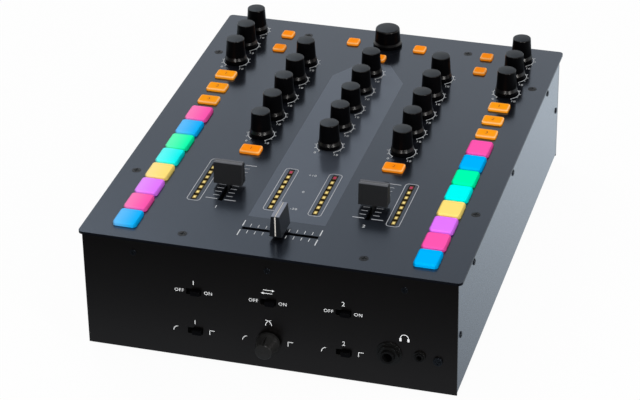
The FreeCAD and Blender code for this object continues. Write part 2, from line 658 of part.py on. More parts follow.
def switch_places():
    """Name, x and height of the five front slide switches."""
    return [("line_switch_1", "-channel_column_x", "upper_switch_height"),
            ("reverse_switch", "0", "upper_switch_height"),
            ("line_switch_2", "channel_column_x", "upper_switch_height"),
            ("curve_switch_1", "-channel_column_x", "lower_switch_height"),
            ("curve_switch_2", "channel_column_x", "lower_switch_height")]


def make_front_panel():
    wall = wall_with_flanges("FrontWall", "front_face", 1)
    start = "front_face - cutter_overrun"
    through = "sheet_thick + 2 * cutter_overrun"
    middle = "front_face + sheet_thick / 2"
    tools = [corner_screw_tools("front_face", 1)]
    for name, x, height in switch_places():
        tall = "lever_height + 2 * lever_gap"
        tools.append(block("LeverSlot", "lever_slot", through, tall, x, middle,
                           f"foot_height + {height} - ({tall}) / 2"))
    for radius, x, level in (("bushing_radius + hole_clearance", "0", "foot_height + lower_switch_height"),
                             ("jack_sleeve + hole_clearance", "jack_x", "foot_height + jack_height"),
                             ("mini_sleeve + hole_clearance", "mini_x", "foot_height + mini_height"),
                             ("shank_hole", "socket_screw_x", "foot_height + wall_screw_height"),
                             ("shank_hole", "-wall_screw_x", wall_screw_level),
                             ("shank_hole", "0", wall_screw_level),
                             ("shank_hole", "wall_screw_x", wall_screw_level)):
        tools.append(rod("FrontHole", radius, through, x, start, level, FACE_REAR))
    node("front_panel", [cut("FrontPanel", wall, tools)])


phono_columns = [f"phono_first_x + {index} * phono_pitch" for index in range(PHONO_COLUMNS)]
phono_rows = ("foot_height + upper_socket_height", "foot_height + lower_socket_height")
rear_jack_places = [("output_x", phono_rows[0]), ("output_x", phono_rows[1]), ("microphone_x", phono_rows[1])]


def make_rear_panel():
    wall = wall_with_flanges("RearWall", "rear_face", -1)
    start = "rear_face - sheet_thick - cutter_overrun"
    through = "sheet_thick + 2 * cutter_overrun"
    middle = "rear_face - sheet_thick / 2"
    tools = [corner_screw_tools("rear_face", -1)]
    holes = [("shank_hole", x, wall_screw_level) for x in wall_screw_columns]
    holes += [("phono_sleeve + hole_clearance", x, z) for x in phono_columns for z in phono_rows]
    holes += [("jack_sleeve + hole_clearance", x, z) for x, z in rear_jack_places]
    holes.append(("inlet_radius + hole_clearance", "inlet_x", phono_rows[1]))
    for radius, x, level in holes:
        tools.append(rod("RearHole", radius, through, x, start, level, FACE_REAR))
    tools.append(block("UsbOpening", "usb_width + 2 * hole_clearance", through, "usb_height + 2 * hole_clearance",
                       "usb_x", middle, f"{phono_rows[1]} - usb_height / 2 - hole_clearance"))
    wide, tall = housing_size()
    tools.append(block("SwitchOpening", f"{wide} + 2 * hole_clearance", through, f"{tall} + 2 * hole_clearance",
                       "rocker_x", middle, f"foot_height + rocker_height - ({tall}) / 2 - hole_clearance"))
    node("rear_panel", [cut("RearPanel", wall, tools)])


def make_panel_rails():
    """Angle rails along the sides, and strips with two screw tabs at the front and rear."""
    rails = []
    top = "under_panel - rail_thick"
    leg = "under_panel - rail_drop"
    length = "case_depth - 2 * (sheet_thick + flange_depth + rail_edge)"
    reach = "panel_screw_inset - side_overhang - sheet_thick - seam_gap + rail_edge"
    for side, sign in SIDES:
        outer = "side_face - sheet_thick - seam_gap"
        upright = block("RailUpright", "rail_thick", length, "rail_drop",
                        f"{sign} * ({outer} - rail_thick / 2)", "case_middle", leg)
        flat = block("RailFlat", reach, length, "rail_thick",
                     f"{sign} * ({outer} - ({reach}) / 2)", "case_middle", top)
        tools = [rod("RailSideHole", "shank_hole", "panel_width", "-panel_width / 2", y, z, FACE_RIGHT)
                 for y, z in side_screw_places[:3]]
        edge_x = f"{sign} * (panel_width / 2 - panel_screw_inset)"
        for y in ("rear_edge - panel_screw_rear", "panel_screw_front - rear_edge"):
            tools.append(rod("RailTopHole", "shank_hole", "rail_drop", edge_x, y, leg))
        rails.append(cut(f"Rail_{side}", joined(f"RailAngle_{side}", [upright, flat]), tools))
    for name, face, inward, screw_y, inset in (
            ("Front", "front_face", 1, "front_tab_screw - rear_edge", "front_tab_screw - front_overhang"),
            ("Rear", "rear_face", -1, "rear_edge - rear_tab_screw", "rear_tab_screw - rear_overhang")):
        wall_y = f"{face} + {inward} * (sheet_thick + seam_gap)"
        strip = block(name + "Strip", "2 * (wall_screw_x + rail_edge)", "rail_thick", "rail_drop",
                      "0", f"{wall_y} + {inward} * rail_thick / 2", leg)
        tab_reach = f"{inset} - sheet_thick - seam_gap + rail_edge"
        pieces = [strip]
        tools = []
        for side, sign in SIDES:
            x = f"{sign} * tab_screw_x"
            pieces.append(block(name + "Tab", "tab_width", tab_reach, "rail_thick",
                                x, f"{wall_y} + {inward} * ({tab_reach}) / 2", top))
            tools.append(rod(name + "TabHole", "shank_hole", "rail_drop", x, screw_y, leg))
        for x in wall_screw_columns:
            tools.append(rod(name + "StripHole", "shank_hole", "2 * rail_edge", x,
                             f"{wall_y} - rail_edge", wall_screw_level, FACE_REAR))
        rails.append(cut(name + "Rail", joined(name + "Angle", pieces), tools))
    node("panel_rails", rails)


def make_rubber_feet():
    body = new_body("Foot")
    turned(body, outline(sketch_on(body, "XZ_Plane"), [
        ("0", "foot_recess"), ("foot_recess_radius", "foot_recess"), ("foot_recess_radius", "0"),
        ("foot_radius - foot_taper", "0"), ("foot_radius", "foot_height"), ("0", "foot_height")]))
    x = "side_face - foot_inset"
    feet = mirrored_pair("FootFront", body, x, "front_face + foot_inset", "0")
    feet += mirrored_pair("FootRear", body, x, "rear_face - foot_inset", "0")
    node("rubber_feet", feet)


def make_case_screws():
    """Countersunk screws in the panel and pan head screws elsewhere, all with a cross recess.

    Z = 0 is the top of a countersunk head and the seat of a pan head.
    """
    def crossed(name, blank, arm, top):
        bottom = f"{top} - screw_slot_depth"
        return cut(name, blank, [joined(name + "Cross", [
            block(name + "CrossA", arm, "screw_slot", "screw_head_height", z=bottom),
            block(name + "CrossB", "screw_slot", arm, "screw_head_height", z=bottom)])])

    flat_body = new_body("FlatScrewBlank")
    turned(flat_body, outline(sketch_on(flat_body, "XZ_Plane"), [
        ("0", "-screw_length"), ("screw_shank_radius", "-screw_length"),
        ("screw_shank_radius", "-flat_head_height"), ("flat_head_radius", "0"), ("0", "0")]))
    flat_screw = crossed("FlatScrew", flat_body, "1.4 * flat_head_radius", "0")

    def pan_head(name, radius, height):
        body = new_body(name + "Blank")
        spun = turned(body, outline(sketch_on(body, "XZ_Plane"), [
            ("0", "-screw_length"), ("screw_shank_radius", "-screw_length"), ("screw_shank_radius", "0"),
            (radius, "0"), (radius, height), ("0", height)]))
        doc.recompute()
        rounded(body, spun, "screw_head_round", rim_at(spun.Shape.BoundBox.ZMax))
        return crossed(name, body, f"1.4 * {radius}", height)

    screw = pan_head("Screw", "screw_head_radius", "screw_head_height")
    large_screw = pan_head("LargeScrew", "socket_screw_radius", "socket_screw_head")
    screws = [copy_of(flat_screw, "PanelScrew", x, y, "panel_top") for x, y in panel_screw_places]
    for x in wall_screw_columns:
        screws.append(copy_of(screw, "FrontScrew", x, "front_face", wall_screw_level, FACE_FRONT))
        screws.append(copy_of(screw, "RearScrew", x, "rear_face", wall_screw_level, FACE_REAR))
    screws.append(copy_of(large_screw, "SocketScrew", "socket_screw_x", "front_face",
                          "foot_height + wall_screw_height", FACE_FRONT))
    for y, z in side_screw_places:
        screws.append(copy_of(screw, "LeftScrew", "-side_face", y, z, FACE_LEFT))
        screws.append(copy_of(screw, "RightScrew", "side_face", y, z, FACE_RIGHT))
    for x, y in stud_places:
        screws.append(copy_of(screw, "BoardScrew", x, y, "board_top - board_thick", FACE_DOWN))
    node("case_screws", screws)


def make_boards():
    """Control board on the studs, and an upright board behind the front switches."""
    sheet_inset = "2 * board_inset"
    board = block("ControlSheet", f"case_width - {sheet_inset}", f"case_depth - {sheet_inset}", "board_thick",
                  "0", "case_middle", "board_top - board_thick")
    holes = [rod("BoardHole", "shank_hole", "board_thick + 2 * cutter_overrun", x, y,
                 "board_top - board_thick - cutter_overrun") for x, y in stud_places]
    node("control_board", [cut("ControlBoard", board, holes)])
    bottom = "foot_height + lower_switch_height - front_board_margin"
    tall = "upper_switch_height - lower_switch_height + 2 * front_board_margin"
    node("front_board", [block("FrontBoard", "2 * (channel_column_x + front_board_margin)", "board_thick", tall,
                               "0", "front_face + sheet_thick + board_drop + board_thick / 2", bottom)])


def make_rotary_pots():
    """Potentiometers and the browse encoder: square bodies with a bushing; the board face is Z = 0."""
    solid = joined("PotSolid", [block("PotBody", "pot_width", "pot_width", "pot_height"),
                                rod("PotBushing", "bushing_radius", "board_drop + panel_thick + bushing_proud")])
    bore = rod("PotBore", "shaft_radius + bushing_fit", "board_drop + panel_thick + bushing_proud", z="pot_floor")
    pot = cut("Pot", solid, [bore])
    pots = [copy_of(pot, "PanelPot", x, y, "board_top") for x, y in list(knob_places.values()) + [browse_place]]
    pots.append(copy_of(pot, "CurvePot", "0", "front_face + sheet_thick + board_drop",
                        "foot_height + lower_switch_height", FACE_FRONT))
    node("rotary_pots", pots)


def shaft_for(name, height):
    """Control shaft with a flat at its upper end; Z = 0 is the outer face of the panel."""
    bottom = "pot_floor + end_gap - board_drop - panel_thick"
    top = f"{height} - end_gap"
    shaft = rod(name + "Round", "shaft_radius", f"{top} - ({bottom})", z=bottom)
    flat = block(name + "Flat", "2 * shaft_radius", "shaft_radius", "knob_bore", "0",
                 "shaft_flat + shaft_radius / 2", f"{top} - knob_bore")
    return cut(name, shaft, [flat])


def bored(name, body):
    """Cut the flatted shaft socket into a knob from the ceiling of its hollow."""
    start = "knob_recess - cutter_overrun"
    tall = "knob_bore + cutter_overrun"
    whole = rod(name + "Bore", "shaft_radius + shaft_fit", tall, z=start)
    flat = block(name + "BoreFlat", "3 * shaft_radius", "shaft_radius", tall, "0",
                 "shaft_flat + shaft_fit + shaft_radius / 2", start)
    return cut(name + "Socket", whole, [flat])


def knob_master(name, height, top):
    """Tapered knob with a domed top on a flared skirt, and a pointer groove down its rear flank."""
    body = new_body(name + "Blank")
    hollow = "knob_skirt_radius - knob_wall"
    spun = turned(body, outline(sketch_on(body, "XZ_Plane"), [
        ("0", "knob_recess"), (hollow, "knob_recess"), (hollow, "knob_gap"), ("knob_skirt_radius", "knob_gap"),
        ("knob_skirt_radius", "knob_skirt_height - knob_flare"), ("knob_waist_radius", "knob_skirt_height"),
        (top, f"{height} - knob_dome"), ("0", height)], domed=True))
    waist = sheet.get("knob_waist_radius") - 1e-6
    skirt = sheet.get("knob_skirt_height") + 1e-6

    def is_rim(box):
        return box.ZLength < 1e-6 and box.ZMin > skirt and box.XLength > waist

    def is_flare(box):
        return box.ZLength < 1e-6 and box.ZMin > sheet.get("knob_gap") + 1e-6 and box.XLength > 2 * waist

    last = rounded(body, spun, "knob_rim", is_rim)
    doc.recompute()
    rounded(body, last, "knob_round", is_flare)
    groove = block(name + "Pointer", "pointer_width", "knob_skirt_radius", height, "0",
                   f"{top} - pointer_depth + knob_skirt_radius / 2", "knob_skirt_height")
    return cut(name, body, [groove, bored(name, body)])


def browse_master():
    """Wide knob with a flange and a domed top."""
    body = new_body("BrowseBlank")
    hollow = "browse_flange_radius - knob_wall"
    spun = turned(body, outline(sketch_on(body, "XZ_Plane"), [
        ("0", "knob_recess"), (f"{hollow} - knob_wall", "knob_recess"), (hollow, "knob_gap"),
        ("browse_flange_radius", "knob_gap"), ("browse_flange_radius", "browse_flange"),
        ("browse_waist_radius", "browse_flange + knob_wall"),
        ("browse_top_radius", "browse_height - browse_dome"), ("0", "browse_height")], domed=True))
    waist = sheet.get("browse_flange") + sheet.get("knob_wall") + 1e-6
    rounded(body, spun, "browse_round", lambda box: box.ZLength < 1e-6 and box.ZMin > waist
            and box.XLength > sheet.get("browse_top_radius"))
    return cut("Browse", body, [bored("Browse", body)])


def make_knobs():
    knob = knob_master("Knob", "knob_height", "knob_top_radius")
    shaft = shaft_for("KnobShaft", "knob_recess + knob_bore")
    for name, (x, y) in knob_places.items():
        node(name, [copy_of(knob, name + "_cap", x, y, "panel_top"),
                    copy_of(shaft, name + "_shaft", x, y, "panel_top")])
    browse = browse_master()
    x, y = browse_place
    node("browse_knob", [copy_of(browse, "browse_cap", x, y, "panel_top"),
                         copy_of(shaft, "browse_shaft", x, y, "panel_top")])
    curve = knob_master("CurveKnob", "curve_knob_height", "curve_top_radius")
    level = "foot_height + lower_switch_height"
    node("curve_knob", [copy_of(curve, "curve_cap", "0", "mounting_plane", level, FACE_FRONT),
                        copy_of(shaft, "curve_shaft", "0", "mounting_plane", level, FACE_FRONT)])


def make_fader_tracks():
    """Fader frames with two guide rods each; Z = 0 is the underside of the panel."""
    inner = "frame_width - 2 * frame_wall"
    inner_length = "frame_length - 2 * frame_wall"
    shell = block("FrameShell", "frame_width", "frame_length", "frame_height", z="-frame_height")
    cavity = block("FrameCavity", inner, inner_length, "frame_height", z="-frame_height - frame_wall")
    slot = block("FrameSlot", "slot_width", "slot_length", "2 * frame_wall", z="-frame_wall - frame_wall / 2")
    frame = cut("Frame", shell, [joined("FrameRoom", [cavity, slot])])
    guides = []
    for side, sign in SIDES:
        guides.append(rod("Guide", "guide_radius", inner_length, f"{sign} * guide_spacing / 2",
                          f"({inner_length}) / 2", "guide_rise - frame_height", FACE_FRONT))
    tracks = []
    for x, y, angle in fader_places:
        for piece in [frame] + guides:
            whole = group("TrackPiece", [piece])
            tracks.append(copy_of(whole, "Track", x, y, "under_panel", QUARTER_TURN if angle else None))
    node("fader_tracks", tracks)


def make_faders():
    """Wedge-shaped caps on a lever and carriage; Z = 0 is the top of the panel and travel is along Y."""
    body = new_body("CapBlank")
    pad = padded(body, outline(sketch_on(body, "YZ_Plane"), [
        ("-cap_base / 2", "cap_gap"), ("cap_base / 2", "cap_gap"),
        ("cap_top / 2", "cap_height"), ("-cap_top / 2", "cap_height")]), "cap_length", symmetric=True)
    doc.recompute()
    floor = pad.Shape.BoundBox.ZMin
    rounded(body, pad, "cap_round", lambda box: box.ZMax > floor + 1e-6)
    across = "cap_length + 2 * cutter_overrun"
    end_x = "cap_length / 2 - cap_line_depth + cutter_overrun / 2"
    tools = [block("CapTopLine", across, "cap_line", "cap_height", z="cap_height - cap_line_depth")]
    for side, sign in SIDES:
        tools.append(block("CapEndLine", "cutter_overrun", "cap_line", "cap_height + cutter_overrun",
                           f"{sign} * ({end_x})"))
    socket = block("CapSocket", "blade_thick + 2 * blade_fit", "blade_width + 2 * blade_fit", "blade_reach")
    cap = cut("FaderCap", body, [joined("CapLines", tools), socket])

    rods_level = "guide_rise - frame_height - panel_thick"
    carriage_floor = f"{rods_level} - carriage_height / 2"
    blade = block("Blade", "blade_thick", "blade_width", f"blade_reach - ({rods_level})", z=rods_level)
    carriage = block("Carriage", "carriage_width", "carriage_length", "carriage_height", z=carriage_floor)
    bores = [rod("CarriageBore", "guide_radius + guide_fit", "2 * carriage_length", f"{sign} * guide_spacing / 2",
                 "carriage_length", rods_level, FACE_FRONT) for side, sign in SIDES]
    lever = cut("FaderLever", joined("LeverSolid", [blade, carriage]), bores)
    rests = ("line_rest_1", "line_rest_2", "0")
    for name, (x, y, angle), rest in zip(("line_fader_1", "line_fader_2", "crossfader"), fader_places, rests):
        turn = QUARTER_TURN if angle else None
        node(name, [copy_of(piece, name + "_piece", x, f"{y} + {rest}", "panel_top", turn)
                    for piece in (cap, lever)])


def key_master(word, corner, crown, proud):
    """A key cap with a lip below the panel and a plunger; Z = 0 is the top of the panel."""
    foot = "-panel_thick - key_gap"
    width, length = f"{word}_width", f"{word}_length"
    cap = rounded_block(f"{word}_cap", width, length, f"{proud} - ({foot})", corner, crown)
    place(cap, z=foot)
    lip = block(f"{word}_lip", f"{width} + 2 * lip_width", f"{length} + 2 * lip_width", "lip_thick",
                z=f"{foot} - lip_thick")
    stem_floor = "key_switch_height - board_drop - panel_thick - stem_entry"
    stem = rod(f"{word}_stem", "stem_radius", f"{foot} - ({stem_floor})", z=stem_floor)
    return joined(f"{word}_whole", [cap, lip, stem])


def make_keys():
    small = key_master("small_key", "key_corner", "key_crown", "key_proud")
    wide = key_master("wide_key", "key_corner", "key_crown", "key_proud")
    pad = key_master("pad", "pad_corner", "pad_crown", "pad_proud")
    banks = []
    for side, sign in SIDES:
        banks.append((f"{side}_pads", pad, pad_places[side]))
        banks.append((f"{side}_deck_keys", wide, deck_key_places[side]))
        banks.append((f"{side}_effect_keys", small, effect_key_places[side]))
    banks.append(("browse_keys", small, browse_key_places))
    banks.append(("cue_keys", wide, cue_key_places))
    for name, master, places in banks:
        node(name, [copy_of(master, name + "_key", x, y, "panel_top") for x, y in places])


def make_key_switches():
    body = block("KeySwitchBody", "key_switch_width", "key_switch_width", "key_switch_height")
    bore = rod("KeySwitchBore", "stem_radius + stem_fit", "key_switch_height", z="key_switch_floor")
    switch = cut("KeySwitch", body, [bore])
    places = small_key_places + wide_key_places + all_pad_places
    node("key_switches", [copy_of(switch, "KeySwitchCopy", x, y, "board_top") for x, y in places])


def make_light_pipes():
    pipes = []
    for x in meter_columns:
        for index in range(LIGHTS_PER_METER):
            y = f"meter_row + meter_span / 2 - {index} * light_pitch"
            pipes.append(block("LightPipe", "light_width", "light_length", "board_drop + panel_thick",
                               x, y, "board_top"))
    node("meter_light_pipes", pipes)


def make_slide_switches():
    """Cans between the front wall and its board, each with a sliding lever."""
    inside = "front_face + sheet_thick"
    tall = "lever_height + 2 * lever_gap"
    room_depth = "lever_depth + lever_gap - sheet_thick"
    lever = rounded_block("Lever", "lever_width", "lever_height", "lever_reach + lever_depth",
                          "lever_round", "lever_round")
    cans = []
    for name, x, height in switch_places():
        level = f"foot_height + {height}"
        shell = block("CanShell", "lever_slot + 2 * can_wall", "board_drop", f"{tall} + 2 * can_wall",
                      x, f"{inside} + board_drop / 2", f"{level} - ({tall}) / 2 - can_wall")
        room = block("CanRoom", "lever_slot", room_depth, tall,
                     x, f"{inside} + ({room_depth}) / 2", f"{level} - ({tall}) / 2")
        cans.append(cut("Can", shell, [room]))
        node(name, [copy_of(lever, name + "_lever", f"{x} + lever_rest", "front_face + lever_depth",
                            level, FACE_FRONT)])
    node("slide_switch_cans", cans)


def make_jack_sockets():
    """Large and small headphone sockets at the front, and large sockets at the rear."""
    def socket(name, width, depth, sleeve, reach, bore):
        front = f"sheet_thick + {reach}"
        solid = joined(name + "Solid", [block(name + "Body", width, width, depth, z=f"-({depth})"),
                                        rod(name + "Sleeve", sleeve, front)])
        inside = rod(name + "Bore", bore, f"{depth} + {front}", z=f"jack_floor - {depth}")
        return cut(name, solid, [inside])

    large = socket("Jack", "jack_width", "jack_depth", "jack_sleeve", "jack_reach", "jack_bore")
    small = socket("Mini", "mini_width", "mini_depth", "mini_sleeve", "mini_reach", "mini_bore")
    inside_front = "front_face + sheet_thick"
    inside_rear = "rear_face - sheet_thick"
    jack_level = "foot_height + jack_height"
    mini_level = "foot_height + mini_height"
    sockets = [copy_of(large, "HeadphoneJack", "jack_x", inside_front, jack_level, FACE_FRONT),
               copy_of(small, "HeadphoneMini", "mini_x", inside_front, mini_level, FACE_FRONT)]
    sockets += [copy_of(large, "RearJack", x, inside_rear, z, FACE_REAR) for x, z in rear_jack_places]
    node("jack_sockets", sockets)

    prism = doc.addObject("Part::Prism", "NutPrism")
    prism.Polygon = 6
    bind(prism, Circumradius="nut_radius", Height="nut_thick")
    place(prism, z="washer_thick")
    hole = rod("NutHole", "jack_sleeve + screw_clearance", "nut_thick + washer_thick")
    nut = cut("Nut", prism, [hole])
    washer = cut("Washer", rod("WasherDisc", "washer_radius", "washer_thick"), [hole])
    ring = cut("RingNut", rod("RingDisc", "ring_nut_radius", "ring_nut_thick"),
               [rod("RingHole", "mini_sleeve + screw_clearance", "ring_nut_thick")])
    nuts = [copy_of(ring, "MiniNut", "mini_x", "front_face", mini_level, FACE_FRONT)]
    for piece in (washer, nut):
        nuts.append(copy_of(piece, "FrontNut", "jack_x", "front_face", jack_level, FACE_FRONT))
        nuts += [copy_of(piece, "RearNut", x, "rear_face", z, FACE_REAR) for x, z in rear_jack_places]
    node("jack_nuts", nuts)


def make_rear_sockets():
    """Phono sockets, USB socket and power inlet; Z = 0 of each is the outer face of the wall."""
    inside = "-sheet_thick - phono_depth"
    solid = joined("PhonoSolid", [
        block("PhonoBody", "phono_width", "phono_width", "phono_depth", z=inside),
        rod("PhonoSleeve", "phono_sleeve", f"phono_reach - ({inside})", z=inside),
        rod("PhonoCollar", "phono_collar", "phono_collar_thick")])
    contact = rod("PhonoContact", "phono_bore", "phono_bore_depth + cutter_overrun", z="phono_reach - phono_bore_depth")
    phono = cut("Phono", solid, [contact])
    node("phono_sockets", [copy_of(phono, "PhonoCopy", x, "rear_face", z, FACE_REAR)
                           for x in phono_columns for z in phono_rows])

    shell = block("UsbShell", "usb_width", "usb_height", "usb_depth + usb_proud", z="-usb_depth")
    mouth = block("UsbMouth", "usb_width - 2 * usb_wall", "usb_height - 2 * usb_wall", "usb_mouth + cutter_overrun",
                  z="usb_proud - usb_mouth")
    tongue = block("UsbTongue", "usb_tongue_width", "usb_tongue_height", "usb_mouth - usb_tongue_back",
                   z="usb_proud - usb_mouth")
    usb = cut("Usb", shell, [cut("UsbRoom", mouth, [tongue])])
    node("usb_socket", [place(usb, "usb_x", "rear_face", phono_rows[1], FACE_REAR)])

    barrel = rod("InletBarrel", "inlet_radius", "inlet_depth + inlet_proud", z="-inlet_depth")
    bore = rod("InletBore", "inlet_bore", "inlet_mouth + cutter_overrun", z="inlet_proud - inlet_mouth")
    pin = rod("InletPin", "inlet_pin", "inlet_mouth - inlet_pin_back", z="inlet_proud - inlet_mouth")
    inlet = cut("Inlet", barrel, [cut("InletRoom", bore, [pin])])
    node("power_inlet", [place(inlet, "inlet_x", "rear_face", phono_rows[1], FACE_REAR)])


def rocker_room_size():
    """Width and height of the space that the rocker swings in."""
    return "rocker_width + 2 * rocker_side_gap", "2 * (rocker_swing + rocker_room)"


def housing_size():
    """Width and height of the switch housing behind the wall."""
    wide, tall = rocker_room_size()
    return f"{wide} + 2 * housing_wall", f"{tall} + 2 * housing_wall"


def make_power_switch():
    """Rocker on two short pivots in a housing with a bezel; Y = 0 is the rocker's axis."""
    wide, tall = rocker_room_size()
    outer_wide, outer_tall = housing_size()
    back = "rocker_swing + rocker_room"
    face = "rocker_valley"
    level = "foot_height + rocker_height"
    depth = f"{back} + housing_floor + {face}"
    shell = block("HousingShell", outer_wide, f"{depth} - bezel_thick", outer_tall, "0",
                  f"{face} - bezel_thick - ({depth} - bezel_thick) / 2", f"-({outer_tall}) / 2")
    bezel = block("HousingBezel", f"{outer_wide} + 2 * bezel_width", "bezel_thick", f"{outer_tall} + 2 * bezel_width",
                  "0", f"{face} - bezel_thick / 2", f"-({outer_tall}) / 2 - bezel_width")
    room = block("HousingRoom", wide, f"{back} + {face} + cutter_overrun", tall, "0",
                 f"({face} + cutter_overrun - ({back})) / 2", f"-({tall}) / 2")
    pin_length = "rocker_width + 2 * rocker_side_gap + 2 * rocker_pin_reach"
    hole_length = f"{pin_length} + 2 * end_gap"
    hole = rod("PivotHole", "rocker_pin + bushing_fit", hole_length, f"-({hole_length}) / 2", turn=FACE_RIGHT)
    housing = cut("SwitchHousing", joined("HousingSolid", [shell, bezel]), [joined("HousingSpace", [room, hole])])
    node("power_switch_housing", [place(housing, "rocker_x", "rocker_axis", level)])

    body = new_body("RockerBlank")
    padded(body, outline(sketch_on(body, "YZ_Plane"), [
        ("-rocker_back", "-rocker_length / 2"), ("rocker_front", "-rocker_length / 2"), ("rocker_valley", "0"),
        ("rocker_front", "rocker_length / 2"), ("-rocker_back", "rocker_length / 2")]),
        "rocker_width", symmetric=True)
    pivot = rod("RockerPivot", "rocker_pin", pin_length, f"-({pin_length}) / 2", turn=FACE_RIGHT)
    rocker = joined("Rocker", [body, pivot])
    tilt = Rotation(Vector(1, 0, 0), sheet.get("rocker_tilt"))
    node("power_rocker", [place(rocker, "rocker_x", "rocker_axis", level, tilt)])


def check_document():
    """Stop before anything is written if a feature failed or a shape is not sound."""
    doc.recompute()
    failed = [item.Name for item in doc.Objects if {"Invalid", "Error"} & set(item.State)]
    if failed:
        raise RuntimeError(f"failed features: {failed}")
    for item in nodes:
        if item.Shape.isNull() or not item.Shape.isValid() or not item.Shape.Solids:
            raise RuntimeError(f"unsound shape: {item.Label}")


def write_parts():
    os.makedirs("parts", exist_ok=True)
    for item in nodes:
        item.Shape.exportStep(f"parts/{item.Label}.step")


make_top_panel()
make_base_tray()
make_front_panel()
make_rear_panel()
make_panel_rails()
make_rubber_feet()
make_case_screws()
make_boards()
make_rotary_pots()
make_knobs()
make_fader_tracks()
make_faders()
make_keys()
make_key_switches()
make_light_pipes()
make_slide_switches()
make_jack_sockets()
make_rear_sockets()
make_power_switch()
check_document()
write_parts()
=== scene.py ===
"""Looks of a two-channel performance mixer: finishes, printed scales, lit keys, stage and camera."""

import json
import math

import bpy
from bpy.props import FloatProperty, FloatVectorProperty, PointerProperty
from mathutils import Matrix, Vector


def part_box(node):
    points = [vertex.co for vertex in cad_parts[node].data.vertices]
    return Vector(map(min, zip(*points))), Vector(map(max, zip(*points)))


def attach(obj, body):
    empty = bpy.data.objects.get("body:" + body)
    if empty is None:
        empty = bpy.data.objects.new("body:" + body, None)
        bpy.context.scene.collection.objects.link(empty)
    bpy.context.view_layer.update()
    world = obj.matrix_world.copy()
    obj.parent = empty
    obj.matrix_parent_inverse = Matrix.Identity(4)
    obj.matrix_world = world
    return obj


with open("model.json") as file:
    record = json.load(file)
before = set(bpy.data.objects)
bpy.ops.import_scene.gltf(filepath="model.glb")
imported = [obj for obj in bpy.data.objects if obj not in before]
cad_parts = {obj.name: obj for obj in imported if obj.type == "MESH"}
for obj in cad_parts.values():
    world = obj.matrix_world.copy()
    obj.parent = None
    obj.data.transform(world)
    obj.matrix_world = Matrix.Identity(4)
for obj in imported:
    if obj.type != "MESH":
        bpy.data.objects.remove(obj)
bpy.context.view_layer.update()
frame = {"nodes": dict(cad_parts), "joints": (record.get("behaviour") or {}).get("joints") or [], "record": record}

bl_info = {
    "name": "Two-channel mixer looks",
    "version": (1, 0, 0),
    "blender": (4, 5, 0),
    "location": "View3D > Sidebar > Mixer",
    "description": "Finishes, printed scales, lit keys and stage of a two-channel performance mixer",
    "category": "Object",
}

MM = 0.001
CASE = "case"
DECK_KNOBS = [f"{side}_{word}" for side in ("left", "right")
              for word in ("effect_knob_1", "effect_knob_2", "loop_knob")]
CHANNEL_KNOBS = [f"channel_{channel}_{word}_knob" for channel in (1, 2)
                 for word in ("gain", "high", "mid", "low", "filter")]
CENTRE_KNOBS = ["microphone_knob", "tone_knob", "master_knob", "cue_mix_knob", "cue_level_knob"]
PANEL_KNOBS = DECK_KNOBS + CHANNEL_KNOBS + CENTRE_KNOBS
LINE_FADERS = ["line_fader_1", "line_fader_2"]
DECK_KEYS = ["left_deck_keys", "right_deck_keys"]
SMALL_KEYS = ["left_effect_keys", "right_effect_keys", "browse_keys"]
PADS = ["left_pads", "right_pads"]
ON_OFF_SWITCHES = ["line_switch_1", "reverse_switch", "line_switch_2"]
CURVE_SWITCHES = ["curve_switch_1", "curve_switch_2"]
LIGHTS_PER_METER = 8
KEYS_PER_DECK = 3
PHONO_COLUMNS = 5
PIPE_HALF = 1.3 * MM

UP = (0.0, 0.0, 1.0)
ACROSS = (1.0, 0.0, 0.0)
QUARTER = math.radians(90)
FACING_UP = (0.0, 0.0, 0.0)
FACING_FRONT = (QUARTER, 0.0, 0.0)
FACING_REAR = (QUARTER, 0.0, 2 * QUARTER)

WHITE = (1.0, 1.0, 1.0)
NICKEL = (0.62, 0.61, 0.58)
NICKEL_MOTTLE = (240.0, 0.08)
INK_GRAIN = (2600.0, 0.5, 0.7, 0.1)

JOINTS = {joint["child"]: joint for joint in frame["joints"]}
MOUNTS = {mount["name"]: Vector(mount["pos_m"]) for mount in frame["record"]["mounts"]}
PANEL_TOP = JOINTS["microphone_knob"]["pos_m"][2]
FRONT_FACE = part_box("front_panel")[0].y
REAR_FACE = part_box("rear_panel")[1].y


def centre(node):
    low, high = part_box(node)
    return (low + high) / 2


def travel_middle(node):
    """Middle of a sliding control's travel."""
    joint = JOINTS[node]
    return centre(node) + Vector(joint["axis"]) * (sum(joint["range_m"]) / 2)


def turned(turn):
    """Rotation about Z alone."""
    return (0.0, 0.0, turn)


def length(name, default, description):
    return FloatProperty(name=name, description=description, default=default, unit="LENGTH", min=0.0)


def angle(name, default, description):
    return FloatProperty(name=name, description=description, default=default, subtype="ANGLE")


def amount(name, default, description):
    return FloatProperty(name=name, description=description, default=default)


def point(name, default, description):
    return FloatVectorProperty(name=name, description=description, default=default,
                               subtype="TRANSLATION", size=3)


def colour(name, default, description):
    return FloatVectorProperty(name=name, description=description, default=default,
                               subtype="COLOR", size=3, min=0.0, max=1.0)


